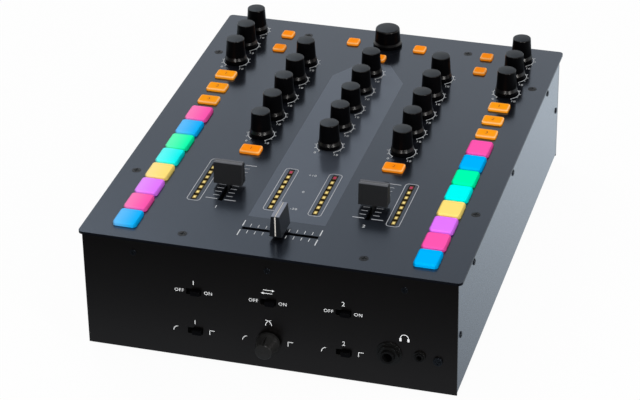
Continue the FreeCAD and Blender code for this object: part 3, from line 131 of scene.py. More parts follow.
class MixerPrint(bpy.types.PropertyGroup):
    """Sizes of what is printed on the panels"""

    ink: length("Ink height", 0.06 * MM, "How far the print stands off the paint")
    line: length("Line", 0.46 * MM, "Width of a printed line")
    arc_radius: length("Arc radius", 9.1 * MM, "Scale arc around a knob")
    arc_gap: angle("Arc gap", math.radians(64), "Opening of the arc at the user's side")
    knob_tick: length("Knob tick", 1.6 * MM, "Ticks outside the scale arc")
    fader_tick: length("Fader tick", 4.4 * MM, "Ticks beside a fader slot")
    end_tick: length("End tick", 8.0 * MM, "Longer ticks at the ends of a line fader")
    tick_gap: length("Tick gap", 2.4 * MM, "Slot middle to the start of a tick")
    fader_span: length("Fader span", 47.3 * MM, "First to last tick of a line fader")
    cross_span: length("Crossfader span", 51.8 * MM, "First to last tick of the crossfader")
    cross_tick: length("Crossfader tick", 3.6 * MM, "Ticks beside the crossfader")
    cross_end_tick: length("Crossfader end tick", 7.2 * MM, "Ticks at the ends of the crossfader")
    meter_width: length("Meter outline width", 9.3 * MM, "Outline around a meter")
    meter_length: length("Meter outline length", 56.4 * MM, "Outline around a meter")
    meter_corner: length("Meter outline corner", 2.6 * MM, "Corner radius of the outline")
    master_meter: length("Master meter", 15.2 * MM, "Master meters from the centre line")
    number: length("Number", 3.2 * MM, "Height of the large numbers")
    small_number: length("Small number", 2.3 * MM, "Height of the small numbers")
    key_number: length("Key number", 3.4 * MM, "Height of the numbers on the keys")
    switch_word: length("Switch word", 2.4 * MM, "Height of the words beside a switch")


class MixerColours(bpy.types.PropertyGroup):
    """Colours of the finishes"""

    panel: colour("Panel", (0.0072, 0.0080, 0.0110), "Glossy paint of the top panel")
    field: colour("Field", (0.060, 0.069, 0.088), "Paler print field in the middle of the panel")
    case: colour("Case", (0.010, 0.018, 0.036), "Satin paint of the case")
    front: colour("Front", (0.0013, 0.0011, 0.0011), "Satin paint of the front")
    rear: colour("Rear", (0.0105, 0.0100, 0.0102), "Matte paint of the rear")
    knob: colour("Knob", (0.002, 0.002, 0.0025), "Moulded knobs")
    front_knob: colour("Front knob", (0.0150, 0.0147, 0.0145), "Curve knob on the front")
    cap: colour("Cap", (0.0150, 0.0142, 0.0138), "Caps of the line faders")
    # Painted sheen: paler colour for the upward faces of the line fader caps
    cap_crown: colour("Cap crown", (0.085, 0.085, 0.095), "Tops of the line fader caps")
    cross_cap: colour("Crossfader cap", (0.0065, 0.0070, 0.0085), "Cap of the crossfader")
    # Painted sheen: paler colour for the upward face of the crossfader cap
    cross_crown: colour("Crossfader crown", (0.20, 0.215, 0.27), "Top of the crossfader cap")
    lever: colour("Lever", (0.012, 0.012, 0.012), "Levers below the fader caps")
    key: colour("Key", (0.93, 0.250, 0.004), "Lit small keys")
    # Painted sheen: paler colour for the rounded top edges of the small keys
    key_rim: colour("Key rim", (0.93, 0.45, 0.15), "Paler rims of the small keys")
    wide_key: colour("Wide key", (0.91, 0.31, 0.006), "Lit wide keys")
    # Painted sheen: paler colour for the rounded top edges of the wide keys
    wide_key_rim: colour("Wide key rim", (0.93, 0.49, 0.19), "Paler rims of the wide keys")
    key_ink: colour("Key ink", (0.38, 0.10, 0.006), "Numbers on the keys")
    ink: colour("Ink", (0.70, 0.72, 0.74), "Lines and numbers on the top panel")
    bright_ink: colour("Bright ink", (0.85, 0.86, 0.87), "Words on the front and rear, and pointers")
    dim_ink: colour("Dim ink", (0.50, 0.51, 0.54), "Meter outlines and line fader ticks")
    cap_ink: colour("Cap ink", (0.26, 0.265, 0.275), "Lines on the line fader caps")
    cross_ink: colour("Crossfader ink", (0.70, 0.67, 0.62), "Lines on the crossfader cap")
    amber: colour("Amber", (0.82, 0.64, 0.20), "Meter windows")
    red: colour("Red", (0.42, 0.005, 0.085), "Peak window")
    pink: colour("Pink", (0.96, 0.092, 0.42), "Pads")
    blue: colour("Blue", (0.0, 0.44, 0.96), "Pads")
    green: colour("Green", (0.0, 0.97, 0.42), "Pads")
    cyan: colour("Cyan", (0.0, 0.94, 0.90), "Pads")
    yellow: colour("Yellow", (0.98, 0.74, 0.19), "Pads")
    purple: colour("Purple", (0.76, 0.18, 0.98), "Pads")


class MixerStage(bpy.types.PropertyGroup):
    """Camera and light"""

    eye: point("Eye", (0.4107, -1.4413, 0.9175), "Place of the camera")
    aim: point("Aim", (0.01357, -0.0858, 0.0904), "Point in the middle of the picture")
    roll: angle("Roll", math.radians(-0.907), "Turn about the line of sight")
    lens: amount("Lens", 140.4, "Focal length in millimetres on a 36 mm sensor")
    sky: amount("Sky", 0.42, "Even light from all round")
    key_power: amount("Key lamp", 15.0, "Power of the lamp behind on the left")
    fill_power: amount("Fill lamp", 6.0, "Power of the lamp above")
    spark_power: amount("Spark lamps", 5.5, "Power of the left lamp in front")
    floor: colour("Floor", (0.90, 0.90, 0.90), "Studio floor")
    mirrored: colour("Mirrored floor", (0.80, 0.90, 1.0), "Floor in the gloss of the case")


def rgba(value):
    """A colour with its alpha, or a socket as it is."""
    return value if isinstance(value, bpy.types.NodeSocket) else (*value, 1.0)


class Nodes:
    """Short ways to add to the node tree of a material or a world."""

    def __init__(self, owner):
        owner.use_nodes = True
        self.tree = owner.node_tree

    def feed(self, socket, value):
        """Link a socket, or set its value."""
        if isinstance(value, bpy.types.NodeSocket):
            self.tree.links.new(value, socket)
        else:
            socket.default_value = value

    def add(self, kind, *values, **settings):
        """A node with its settings made and its first sockets fed."""
        node = self.tree.nodes.new(kind)
        for key, value in settings.items():
            setattr(node, key, value)
        for socket, value in zip(node.inputs, values):
            self.feed(socket, value)
        return node

    def math(self, operation, *values):
        return self.add("ShaderNodeMath", *values, operation=operation).outputs[0]

    def ramp(self, value, *span, kind="LINEAR"):
        """Map a value, clamped, from a low and a high to another low and high."""
        return self.add("ShaderNodeMapRange", value, *span, interpolation_type=kind).outputs[0]

    def spread(self, value, *span):
        """A ramp with smooth ends."""
        return self.ramp(value, *span, kind="SMOOTHSTEP")


class Paint(Nodes):
    """A Principled material whose patterns read Object coordinates."""

    grain_depth = 0.05 * MM
    noise_span = (0.3, 0.7)

    def __init__(self, name, **constants):
        self.material = bpy.data.materials.new(name)
        super().__init__(self.material)
        self.shader = self.tree.nodes["Principled BSDF"]
        self.place = self.add("ShaderNodeTexCoord").outputs["Object"]
        self.x, self.y, self.z = self.add("ShaderNodeSeparateXYZ", self.place).outputs
        for word, value in constants.items():
            self.drive(word.replace("_", " ").title().replace("Ior", "IOR"), value)

    def drive(self, name, value):
        """Feed one of the shader's own sockets."""
        self.feed(self.shader.inputs[name], value)

    def base(self, value):
        self.drive("Base Color", rgba(value))

    def lit(self, value):
        """One colour for the surface and for its glow."""
        self.base(value)
        self.drive("Emission Color", value)

    def noise(self, scale, detail=2.0):
        node = self.add("ShaderNodeTexNoise", self.place)
        node.inputs["Scale"].default_value = scale
        node.inputs["Detail"].default_value = detail
        return node.outputs["Fac"]

    def mix(self, share, first, second):
        node = self.add("ShaderNodeMix", share, data_type="RGBA")
        self.feed(node.inputs[6], rgba(first))
        self.feed(node.inputs[7], rgba(second))
        return node.outputs[2]

    def bands(self, value, colours):
        """Equal steps of colour along a value that runs from 0 to 1."""
        node = self.add("ShaderNodeValToRGB", value)
        ramp = node.color_ramp
        ramp.interpolation = "CONSTANT"
        while len(ramp.elements) < len(colours):
            ramp.elements.new(1.0)
        for index, shade in enumerate(colours):
            ramp.elements[index].position = index / len(colours)
            ramp.elements[index].color = (*shade, 1.0)
        return node.outputs[0]

    def softened(self, radius, samples):
        """The surface's normal with rounded corners."""
        node = self.add("ShaderNodeBevel", samples=samples)
        node.inputs["Radius"].default_value = radius
        return node.outputs[0]

    def facing(self, axis, corner=0.0):
        """How far the surface faces one way, from -1 to 1, with rounded corners where asked."""
        if corner:
            normal = self.softened(corner, 8)
        else:
            normal = self.add("ShaderNodeNewGeometry").outputs["Normal"]
        return self.add("ShaderNodeVectorMath", normal, axis, operation="DOT_PRODUCT").outputs["Value"]

    def offset(self, value, middle):
        """Distance of a value from a middle."""
        return self.math("ABSOLUTE", self.math("SUBTRACT", value, middle))

    def mottled(self, shade, scale, share):
        """A colour with slow variation of its brightness."""
        darker = tuple(part * (1.0 - share) for part in shade)
        lighter = tuple(min(part * (1.0 + share), 1.0) for part in shade)
        return self.mix(self.noise(scale), darker, lighter)

    def grain(self, scale, low, high, strength, edge=0.0):
        """Fine grain in roughness, from low to high, and in height, with softened edges where asked."""
        fine = self.noise(scale, 3.0)
        self.drive("Roughness", self.spread(fine, *self.noise_span, low, high))
        bump = self.add("ShaderNodeBump")
        bump.inputs["Strength"].default_value = strength
        bump.inputs["Distance"].default_value = self.grain_depth
        self.feed(bump.inputs["Height"], fine)
        if edge:
            self.feed(bump.inputs["Normal"], self.softened(edge, 6))
        self.drive("Normal", bump.outputs[0])

    def roughen(self, value):
        """Add to the roughness that the grain gives."""
        grain = self.shader.inputs["Roughness"].links[0].from_socket
        self.drive("Roughness", self.math("ADD", grain, value))


def dress(nodes, material):
    """Give CAD nodes one material."""
    for name in nodes:
        slots = frame["nodes"][name].data.materials
        slots.clear()
        slots.append(material)


def plain_finish(nodes, name, shade, mottle, grain, **constants):
    """An even finish, with the values that mottled and grain take, for CAD nodes or for a print."""
    paint = Paint(name, **constants)
    paint.base(paint.mottled(shade, *mottle))
    paint.grain(*grain)
    dress(nodes, paint.material)
    return paint.material


def ink_material(shade="ink"):
    """Matte screen print in one of the ink colours, each made once."""
    name = f"screen_print_{shade}"
    known = bpy.data.materials.get(name)
    if known:
        return known
    tone = getattr(bpy.context.scene.mixer_colours, shade)
    return plain_finish((), name, tone, (900.0, 0.06), INK_GRAIN, specular_ior_level=0.2)


def deselect():
    bpy.ops.object.select_all(action="DESELECT")


def select_only(item):
    deselect()
    item.select_set(True)
    bpy.context.view_layer.objects.active = item


def start_flat(width, depth):
    """A flat rectangle about the origin, open in edit mode with everything selected."""
    deselect()
    bpy.ops.mesh.primitive_plane_add(size=1.0)
    bpy.ops.object.mode_set(mode="EDIT")
    bpy.ops.mesh.select_all(action="SELECT")
    bpy.ops.transform.resize(value=(width, depth, 1.0))
    return bpy.context.object


def raise_ink(height):
    """Give a flat print in edit mode its thickness."""
    bpy.ops.mesh.select_all(action="SELECT")
    bpy.ops.mesh.extrude_region_move(TRANSFORM_OT_translate={"value": (0.0, 0.0, height)})
    bpy.ops.mesh.select_all(action="SELECT")
    bpy.ops.mesh.normals_make_consistent(inside=False)
    bpy.ops.object.mode_set(mode="OBJECT")


def stroke(width, depth, height):
    """A printed bar with rounded corners."""
    bar = start_flat(width, depth)
    bpy.ops.mesh.bevel(offset=0.35 * min(width, depth), segments=2, affect="VERTICES")
    raise_ink(height)
    return bar


def arc_stroke(radius, width, sweep, height, steps=48):
    """A printed arc about the origin, centred on +Y."""
    arc = start_flat(width, width)
    bpy.ops.transform.translate(value=(radius, width / 2, 0.0))
    bpy.ops.mesh.select_all(action="DESELECT")
    bpy.ops.object.mode_set(mode="OBJECT")
    for edge in arc.data.edges:
        edge.select = all(abs(arc.data.vertices[index].co.y) < 0.1 * width for index in edge.vertices)
    bpy.ops.object.mode_set(mode="EDIT")
    bpy.ops.mesh.select_mode(type="EDGE")
    bpy.ops.mesh.spin(steps=steps, angle=-sweep, center=(0.0, 0.0, 0.0), axis=UP)
    bpy.ops.object.mode_set(mode="OBJECT")
    select_only(arc)
    arc.rotation_euler.z = QUARTER - sweep / 2
    bpy.ops.object.transform_apply(rotation=True)
    bpy.ops.object.mode_set(mode="EDIT")
    bpy.ops.mesh.select_all(action="SELECT")
    bpy.ops.mesh.remove_doubles(threshold=0.01 * width)
    raise_ink(height)
    return arc


def arrow_head(size, height):
    """A printed triangle that points along +X."""
    deselect()
    bpy.ops.mesh.primitive_circle_add(vertices=3, radius=size, fill_type="NGON", rotation=turned(-QUARTER))
    bpy.ops.object.transform_apply(rotation=True)
    head = bpy.context.object
    bpy.ops.object.mode_set(mode="EDIT")
    raise_ink(height)
    return head


def lettering(text, size, height):
    """A word or number about the origin, as a mesh. The size is the height of its capitals."""
    capital_share, spacing = 0.7, 1.12
    deselect()
    bpy.ops.object.text_add()
    curve = bpy.context.object.data
    curve.body = text
    curve.align_x = curve.align_y = "CENTER"
    curve.size = size / capital_share
    curve.space_character = spacing
    curve.resolution_u = 4
    curve.extrude = height / 2
    bpy.ops.object.convert(target="MESH")
    word = bpy.context.object
    word.location.z = height / 2
    bpy.ops.object.transform_apply(location=True)
    return word


def placed(item, place, facing=FACING_UP):
    """Turn and move a piece that was made about the origin."""
    item.rotation_euler = facing
    item.location = place
    select_only(item)
    bpy.ops.object.transform_apply(location=True, rotation=True)
    return item


def copy_to(item, place, facing=FACING_UP):
    """A copy with its own mesh, turned and moved."""
    select_only(item)
    bpy.ops.object.duplicate(linked=False)
    return placed(bpy.context.object, place, facing)


def joined(items):
    """One mesh out of several."""
    deselect()
    for item in items:
        item.select_set(True)
    bpy.context.view_layer.objects.active = items[0]
    if len(items) > 1:
        bpy.ops.object.join()
    return bpy.context.object


def discard(item):
    select_only(item)
    bpy.ops.object.delete()


def finished(items, name, body, material):
    """Join, name and paint a piece, and let it ride on its body."""
    piece = joined(items)
    piece.name = piece.data.name = name
    piece.data.materials.clear()
    piece.data.materials.append(material)
    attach(piece, body)


class MIXER_OT_case_finish(bpy.types.Operator):
    """Paint the panel and the case, and finish the fasteners, sockets and boards"""

    bl_idname = "mixer.case_finish"
    bl_label = "Case finish"
    field_half, field_narrow = 26.0 * MM, 10.0 * MM
    field_front, field_shoulder, field_back = -117.0 * MM, 86.6 * MM, 112.0 * MM

    def execute(self, context):
        shades = context.scene.mixer_colours
        self.panel(shades)
        self.case(shades)
        self.hardware()
        self.inside()
        return {"FINISHED"}

    def panel(self, shades):
        """Glossy paint with a paler field that narrows towards the browse knob, and dull cut edges."""
        paint = Paint("panel_gloss_paint", specular_tint=(0.50, 0.70, 1.0, 1.0))
        paint.drive("Specular IOR Level", paint.spread(paint.facing(UP), 0.5, 0.9, 0.06, 0.98))
        slope = (self.field_half - self.field_narrow) / (self.field_back - self.field_shoulder)
        taper = paint.math("MULTIPLY_ADD", paint.y, -slope, self.field_narrow + slope * self.field_back)
        limit = paint.math("MINIMUM", taper, self.field_half)
        inside = paint.math("LESS_THAN", paint.math("ABSOLUTE", paint.x), limit)
        ahead = paint.math("GREATER_THAN", paint.y, self.field_front)
        behind = paint.math("LESS_THAN", paint.y, self.field_back)
        share = paint.math("MULTIPLY", inside, paint.math("MULTIPLY", ahead, behind))
        ground = paint.mottled(shades.panel, 60.0, 0.10)
        paint.base(paint.mix(share, ground, paint.mottled(shades.field, 60.0, 0.06)))
        paint.grain(1900.0, 0.14, 0.19, 0.03)
        paint.roughen(paint.spread(paint.y, self.field_front, self.field_shoulder, 0.07, 0.0))
        dress(["top_panel"], paint.material)

    def case(self, shades):
        """Satin tray and front, matte rear, all with softened edges."""
        edge = 0.4 * MM
        plain_finish(["base_tray"], "case_satin_paint", shades.case, (45.0, 0.12),
                     (1900.0, 0.22, 0.32, 0.05, edge), specular_ior_level=0.6,
                     specular_tint=(0.80, 0.90, 1.0, 1.0), coat_weight=0.65, coat_roughness=0.25)
        plain_finish(["front_panel"], "front_satin_paint", shades.front, (40.0, 0.15),
                     (1900.0, 0.28, 0.34, 0.05, edge), specular_ior_level=0.5,
                     specular_tint=(1.0, 0.90, 0.86, 1.0))
        plain_finish(["rear_panel"], "rear_matte_paint", shades.rear, (40.0, 0.15),
                     (1900.0, 0.38, 0.50, 0.10, edge), specular_ior_level=0.06)

    def hardware(self):
        """Screws, nuts, sockets and feet."""
        edge = 0.2 * MM
        plain_finish(["case_screws"], "black_screw", (0.0030, 0.0034, 0.0045), (700.0, 0.3),
                     (2400.0, 0.24, 0.36, 0.08, 0.15 * MM), specular_ior_level=0.32,
                     specular_tint=(0.74, 0.86, 1.0, 1.0))
        plain_finish(["jack_nuts"], "black_nickel", (0.0045, 0.0044, 0.0043), (500.0, 0.25),
                     (2200.0, 0.26, 0.42, 0.10, edge), specular_ior_level=0.32)
        plain_finish(["jack_sockets", "power_inlet", "power_switch_housing", "power_rocker"],
                     "socket_plastic", (0.0042, 0.0042, 0.0045), (300.0, 0.2),
                     (1800.0, 0.38, 0.55, 0.15, edge), specular_ior_level=0.12)
        plain_finish(["usb_socket"], "nickel_plate", NICKEL, NICKEL_MOTTLE,
                     (2000.0, 0.20, 0.34, 0.06, edge), metallic=1.0)
        self.phono(edge)
        plain_finish(["rubber_feet"], "foot_rubber", (0.012, 0.012, 0.012), (200.0, 0.25),
                     (1400.0, 0.65, 0.85, 0.3), specular_ior_level=0.2)

    def phono(self, edge):
        """Nickel sleeves with white plastic in the upper row and red in the lower."""
        low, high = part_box("phono_sockets")
        body_half, sleeve_bore, sleeve = 5.5 * MM, 3.1 * MM, 4.3 * MM
        pitch = (high.x - low.x - 2 * body_half) / (PHONO_COLUMNS - 1)
        row_half = (high.z - low.z) / 2 - body_half
        plate = Paint("phono_plate")
        step = plate.math("DIVIDE", plate.math("SUBTRACT", plate.x, low.x + body_half - pitch / 2), pitch)
        aside = plate.math("MULTIPLY", plate.math("SUBTRACT", plate.math("FRACT", step), 0.5), pitch)
        height = plate.math("SUBTRACT", plate.z, (low.z + high.z) / 2)
        rise = plate.math("SUBTRACT", plate.math("ABSOLUTE", height), row_half)
        flat = plate.add("ShaderNodeCombineXYZ", aside, rise).outputs[0]
        radius = plate.add("ShaderNodeVectorMath", flat, operation="LENGTH").outputs["Value"]
        ring = plate.math("GREATER_THAN", radius, sleeve)
        plastic = plate.math("MAXIMUM", ring, plate.math("LESS_THAN", radius, sleeve_bore))
        moulded = plate.mix(plate.math("GREATER_THAN", height, 0.0), (0.42, 0.012, 0.014), NICKEL)
        plate.base(plate.mix(plastic, plate.mottled(NICKEL, *NICKEL_MOTTLE), moulded))
        plate.drive("Metallic", plate.math("SUBTRACT", 1.0, plastic))
        plate.grain(2000.0, 0.22, 0.36, 0.06, edge)
        dress(["phono_sockets"], plate.material)

    def inside(self):
        """Rails, tracks, boards and switches below the panel."""
        plain_finish(["panel_rails", "rotary_pots"], "zinc_plate", (0.50, 0.50, 0.49), (150.0, 0.12),
                     (1500.0, 0.32, 0.50, 0.10), metallic=1.0)
        plain_finish(["fader_tracks", "slide_switch_cans"], "black_oxide", (0.006, 0.006, 0.006), (150.0, 0.2),
                     (1500.0, 0.45, 0.60, 0.10), specular_ior_level=0.1)
        plain_finish(["control_board", "front_board"], "solder_mask", (0.010, 0.060, 0.028), (220.0, 0.25),
                     (1200.0, 0.30, 0.45, 0.1), specular_ior_level=0.4)
        plain_finish(["key_switches"], "switch_plastic", (0.015, 0.015, 0.016), (300.0, 0.2),
                     (1600.0, 0.45, 0.60, 0.15), specular_ior_level=0.3)


class MIXER_OT_knob_finish(bpy.types.Operator):
    """Finish the knobs, fader caps and switch levers"""

    bl_idname = "mixer.knob_finish"
    bl_label = "Knob finish"
    top_span = (0.80, 0.97)
    lever_height = 2.4 * MM

    def execute(self, context):
        shades = context.scene.mixer_colours
        self.knobs(shades)
        grain = (2400.0, 0.30, 0.40, 0.08)
        plain_finish(ON_OFF_SWITCHES + CURVE_SWITCHES, "knob_black_dull", shades.knob, (300.0, 0.25), grain,
                     specular_ior_level=0.04)
        self.caps("fader_cap_black", 0.45, shades.cap, shades.cap_crown, LINE_FADERS)
        self.caps("crossfader_cap_black", 0.8, shades.cross_cap, shades.cross_crown, ["crossfader"])
        plain_finish(["curve_knob"], "front_knob_black", shades.front_knob, (300.0, 0.15), grain,
                     specular_ior_level=0.22)
        return {"FINISHED"}

    def knobs(self, shades):
        """Dull sides, shiny shoulders and satin tops, with a painted reflection tint: blue on the tops, warm
        elsewhere.
        """
        knob = Paint("knob_black")
        knob.base(knob.mottled(shades.knob, 300.0, 0.2))
        knob.grain(2400.0, 0.26, 0.32, 0.04)
        upward = knob.facing(UP)
        satin_top = knob.spread(upward, *self.top_span, 0.0, 0.24)
        shoulder = knob.spread(upward, 0.08, 0.18, 0.03, 0.37)
        knob.drive("Specular IOR Level", knob.math("ADD", shoulder, satin_top))
        knob.roughen(satin_top)
        # Painted reflection tint: blue where the knob faces up, warm on the sides and shoulders
        top = knob.spread(upward, *self.top_span, 0.0, 1.0)
        knob.drive("Specular Tint", knob.mix(top, (1.0, 0.97, 0.94), (0.66, 0.82, 1.0)))
        dress(PANEL_KNOBS + ["browse_knob"], knob.material)

    def caps(self, name, gloss, shade, crown, nodes):
        """Fader caps with a painted sheen that makes their upward faces paler, and the darker levers below them.
        """
        cap = Paint(name, specular_ior_level=gloss, specular_tint=(0.70, 0.84, 1.0, 1.0))
        # Painted sheen: where the cap faces up, its colour turns to the paler top colour
        upward = cap.spread(cap.facing(UP), 0.55, 0.90, 0.0, 1.0)
        lever = cap.math("LESS_THAN", cap.z, PANEL_TOP + self.lever_height)
        moulded = cap.mix(upward, cap.mottled(shade, 300.0, 0.15), crown)
        cap.base(cap.mix(lever, moulded, bpy.context.scene.mixer_colours.lever))
        cap.grain(2200.0, 0.36, 0.48, 0.10)
        dress(nodes, cap.material)


class MIXER_OT_lit_finish(bpy.types.Operator):
    """Finish the lit keys, the coloured pads and the meter windows"""

    bl_idname = "mixer.lit_finish"
    bl_label = "Lit finish"
    key_corner, pad_corner = 2.8 * MM, 2.0 * MM
    # Height band of the painted sheen on the key rims
    rim_below, rim_above = 1.1 * MM, 0.5 * MM
    # Shares of the painted shade on the pad sides and of the painted white sheen on the left bank
    pad_depth, pad_haze = 0.55, 0.13
    window = 4.4 * MM

    def execute(self, context):
        shades = context.scene.mixer_colours
        self.keys("lit_key_orange", shades.key, shades.key_rim, SMALL_KEYS + ["cue_keys"])
        self.keys("lit_key_amber", shades.wide_key, shades.wide_key_rim, DECK_KEYS)
        self.pads(shades)
        self.meters(shades)
        return {"FINISHED"}

    def keys(self, name, face, edge, nodes):
        """Keys with a painted sheen: paler rims around their rounded tops."""
        key = Paint(name, emission_strength=0.25, specular_ior_level=0.01)
        # Painted sheen: rounded top edges take the paler rim colour
        rim = key.spread(key.facing(UP, self.key_corner), 0.80, 0.99, 1.0, 0.0)
        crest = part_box("cue_keys")[1].z
        above = key.spread(key.z, crest - self.rim_below, crest - self.rim_above, 0.0, 1.0)
        key.lit(key.mix(key.math("MULTIPLY", rim, above), key.mottled(face, 260.0, 0.07), edge))
        key.grain(1800.0, 0.30, 0.42, 0.08)
        dress(nodes, key.material)

    def pads(self, shades):
        """One colour for each pad, with painted shade that makes it deeper at its sides, and a painted white sheen
        that makes it paler towards the outer edge of the left bank.
        """
        low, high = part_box("left_pads")
        order = [getattr(shades, word) for word in
                 ("pink", "blue", "green", "cyan", "yellow", "purple", "pink", "blue")]
        shaded_sides = [tuple(self.pad_depth * part for part in shade) for shade in order]
        pad = Paint("lit_pad_rubber", emission_strength=0.19, specular_ior_level=0.0)
        along = pad.ramp(pad.y, high.y, low.y, 0.0, 1.0)
        lean = pad.math("ABSOLUTE", pad.facing(ACROSS, self.pad_corner))
        # Painted shade: sides that lean across X take the deeper colour
        rim = pad.spread(lean, 0.05, 0.65, 0.0, 0.9)
        shade = pad.mix(rim, pad.bands(along, order), pad.bands(along, shaded_sides))
        # Painted sheen: white mixed in, strongest at the outer edge of the left bank
        painted_sheen = pad.spread(pad.x, low.x, high.x, self.pad_haze, 0.0)
        pad.lit(pad.mix(painted_sheen, shade, WHITE))
        pad.grain(1700.0, 0.38, 0.52, 0.10)
        dress(PADS, pad.material)

    def meters(self, shades):
        """Amber windows with a red one at the far end, darker at their edges and sides."""
        low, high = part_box("meter_light_pipes")
        light = Paint("meter_window", emission_strength=0.36, specular_ior_level=0.2)
        pitch = (high.y - low.y - self.window) / (LIGHTS_PER_METER - 1)
        peak = light.math("GREATER_THAN", light.y, high.y - pitch)
        shade = light.mix(peak, shades.amber, shades.red)
        half = self.window / pitch / 2
        steps = light.math("DIVIDE", light.math("SUBTRACT", light.y, low.y), pitch)
        within = light.offset(light.math("FRACT", steps), half)
        across = light.math("ABSOLUTE", light.x)
        middles = (high.x - PIPE_HALF, bpy.context.scene.mixer_print.master_meter)
        nearest = light.math("MINIMUM", *(light.offset(across, middle) for middle in middles))
        aside = light.spread(nearest, 0.2 * PIPE_HALF, PIPE_HALF, 0.0, 0.95)
        edge = light.math("MAXIMUM", aside, light.spread(within, 0.2 * half, 0.95 * half, 0.0, 0.97))
        top = light.spread(light.facing(UP), 0.3, 0.8, 0.0, 1.0)
        light.lit(light.mix(top, (0.02, 0.012, 0.002), light.mix(edge, shade, (0.07, 0.040, 0.004))))
        light.grain(1500.0, 0.20, 0.32, 0.05)
        dress(["meter_light_pipes"], light.material)


class MIXER_OT_knob_scales(bpy.types.Operator):
    """Print a scale arc with ticks and end numbers around every panel knob"""

    bl_idname = "mixer.knob_scales"
    bl_label = "Knob scales"
    ticks = 11
    number_side, number_drop = 0.80, 1.23

    def execute(self, context):
        sizes = context.scene.mixer_print
        sweep = math.tau - sizes.arc_gap
        parts = [arc_stroke(sizes.arc_radius, sizes.line, sweep, sizes.ink)]
        tick = stroke(sizes.line, sizes.knob_tick, sizes.ink)
        reach = sizes.arc_radius + sizes.knob_tick / 2
        for index in range(self.ticks):
            turn = sweep / 2 - sweep * index / (self.ticks - 1)
            spot = (-reach * math.sin(turn), reach * math.cos(turn), 0.0)
            parts.append(copy_to(tick, spot, turned(turn)))
        discard(tick)
        side = self.number_side * sizes.arc_radius
        drop = self.number_drop * sizes.arc_radius
        for text, sign in (("0", -1), ("10", 1)):
            number = lettering(text, sizes.small_number, sizes.ink)
            parts.append(placed(number, (sign * side, -drop, 0.0)))
        scale = joined(parts)
        spots = [centre(name) for name in PANEL_KNOBS]
        copies = [copy_to(scale, (spot.x, spot.y, PANEL_TOP)) for spot in spots]
        discard(scale)
        finished(copies, "knob_scales", CASE, ink_material())
        return {"FINISHED"}


class MIXER_OT_knob_pointers(bpy.types.Operator):
    """Fill the pointer groove of every panel knob with white"""

    bl_idname = "mixer.knob_pointers"
    bl_label = "Knob pointers"
    groove_width, groove_depth, fill = 0.9 * MM, 6.0 * MM, 0.15 * MM
    groove_start, groove_end = 5.6 * MM, 17.6 * MM

    def execute(self, context):
        line = stroke(self.groove_width, self.groove_end - self.groove_start, self.fill)
        shift = Vector((0.0, self.groove_depth, (self.groove_start + self.groove_end) / 2))
        for name in PANEL_KNOBS:
            pointer = copy_to(line, Vector(JOINTS[name]["pos_m"]) + shift, FACING_REAR)
            finished([pointer], f"{name}_pointer", name, ink_material("bright_ink"))
        discard(line)
        return {"FINISHED"}


class MIXER_OT_fader_scales(bpy.types.Operator):
    """Print the ticks beside the fader slots and the channel numbers ahead of them"""

    bl_idname = "mixer.fader_scales"
    bl_label = "Fader scales"
    ticks, end_width, number_gap = 11, 1.5, 10.0 * MM

    def execute(self, context):
        sizes = context.scene.mixer_print
        bright = self.scale(sizes, travel_middle("crossfader"), sizes.cross_span,
                            sizes.cross_tick, sizes.cross_end_tick, upright=False)
        faint = []
        for channel, name in enumerate(LINE_FADERS, start=1):
            middle = travel_middle(name)
            faint += self.scale(sizes, middle, sizes.fader_span, sizes.fader_tick, sizes.end_tick, upright=True)
            number = lettering(str(channel), sizes.number, sizes.ink)
            ahead = sizes.fader_span / 2 + self.number_gap
            bright.append(placed(number, (middle.x, middle.y - ahead, PANEL_TOP)))
        finished(bright, "crossfader_scale", CASE, ink_material())
        finished(faint, "line_fader_scales", CASE, ink_material("dim_ink"))
        return {"FINISHED"}

    def scale(self, sizes, middle, span, tick, end_tick, upright):
        """Ticks on both sides of a slot, the end ones longer and wider."""
        short = stroke(tick, sizes.line, sizes.ink)
        long = stroke(end_tick, self.end_width * sizes.line, sizes.ink)
        facing = turned(0.0 if upright else QUARTER)
        made = []
        for index in range(self.ticks):
            along = span * (index / (self.ticks - 1) - 0.5)
            mark, size = (long, end_tick) if index in (0, self.ticks - 1) else (short, tick)
            for sign in (-1, 1):
                across = sign * (sizes.tick_gap + size / 2)
                x, y = (across, along) if upright else (along, across)
                made.append(copy_to(mark, (middle.x + x, middle.y + y, PANEL_TOP), facing))
        discard(short)
        discard(long)
        return made


class MIXER_OT_fader_lines(bpy.types.Operator):
    """Fill the top grooves of the fader caps, and the end grooves of the crossfader's, with ink"""

    bl_idname = "mixer.fader_lines"
    bl_label = "Fader lines"
    groove_width, groove_depth, fill = 0.8 * MM, 0.3 * MM, 0.22 * MM
    top_line, top_inset, end_inset = 0.5 * MM, 1.2 * MM, 1.0 * MM
    cap_foot = 2.5 * MM

    def execute(self, context):
        for name in LINE_FADERS:
            self.line(name, along_x=True, ends=(), shade="cap_ink")
        self.line("crossfader", along_x=False, ends=(-1, 1), shade="cross_ink")
        return {"FINISHED"}

    def line(self, name, along_x, ends, shade):
        """The lines of one cap, made along X and turned where the cap lies along Y."""
        low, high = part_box(name)
        across = (high.x - low.x) if along_x else (high.y - low.y)
        tall = high.z - PANEL_TOP - self.cap_foot
        top = stroke(across - self.top_inset, self.top_line, self.fill)
        parts = [placed(top, (0.0, 0.0, -self.groove_depth))]
        for sign in ends:
            end = stroke(self.groove_width, tall - self.end_inset, self.fill)
            spot = (sign * (across / 2 - self.groove_depth), 0.0, -tall / 2)
            parts.append(placed(end, spot, (QUARTER, 0.0, sign * QUARTER)))
        middle = centre(name)
        line = placed(joined(parts), (middle.x, middle.y, high.z), turned(0.0 if along_x else QUARTER))
        finished([line], f"{name}_line", name, ink_material(shade))


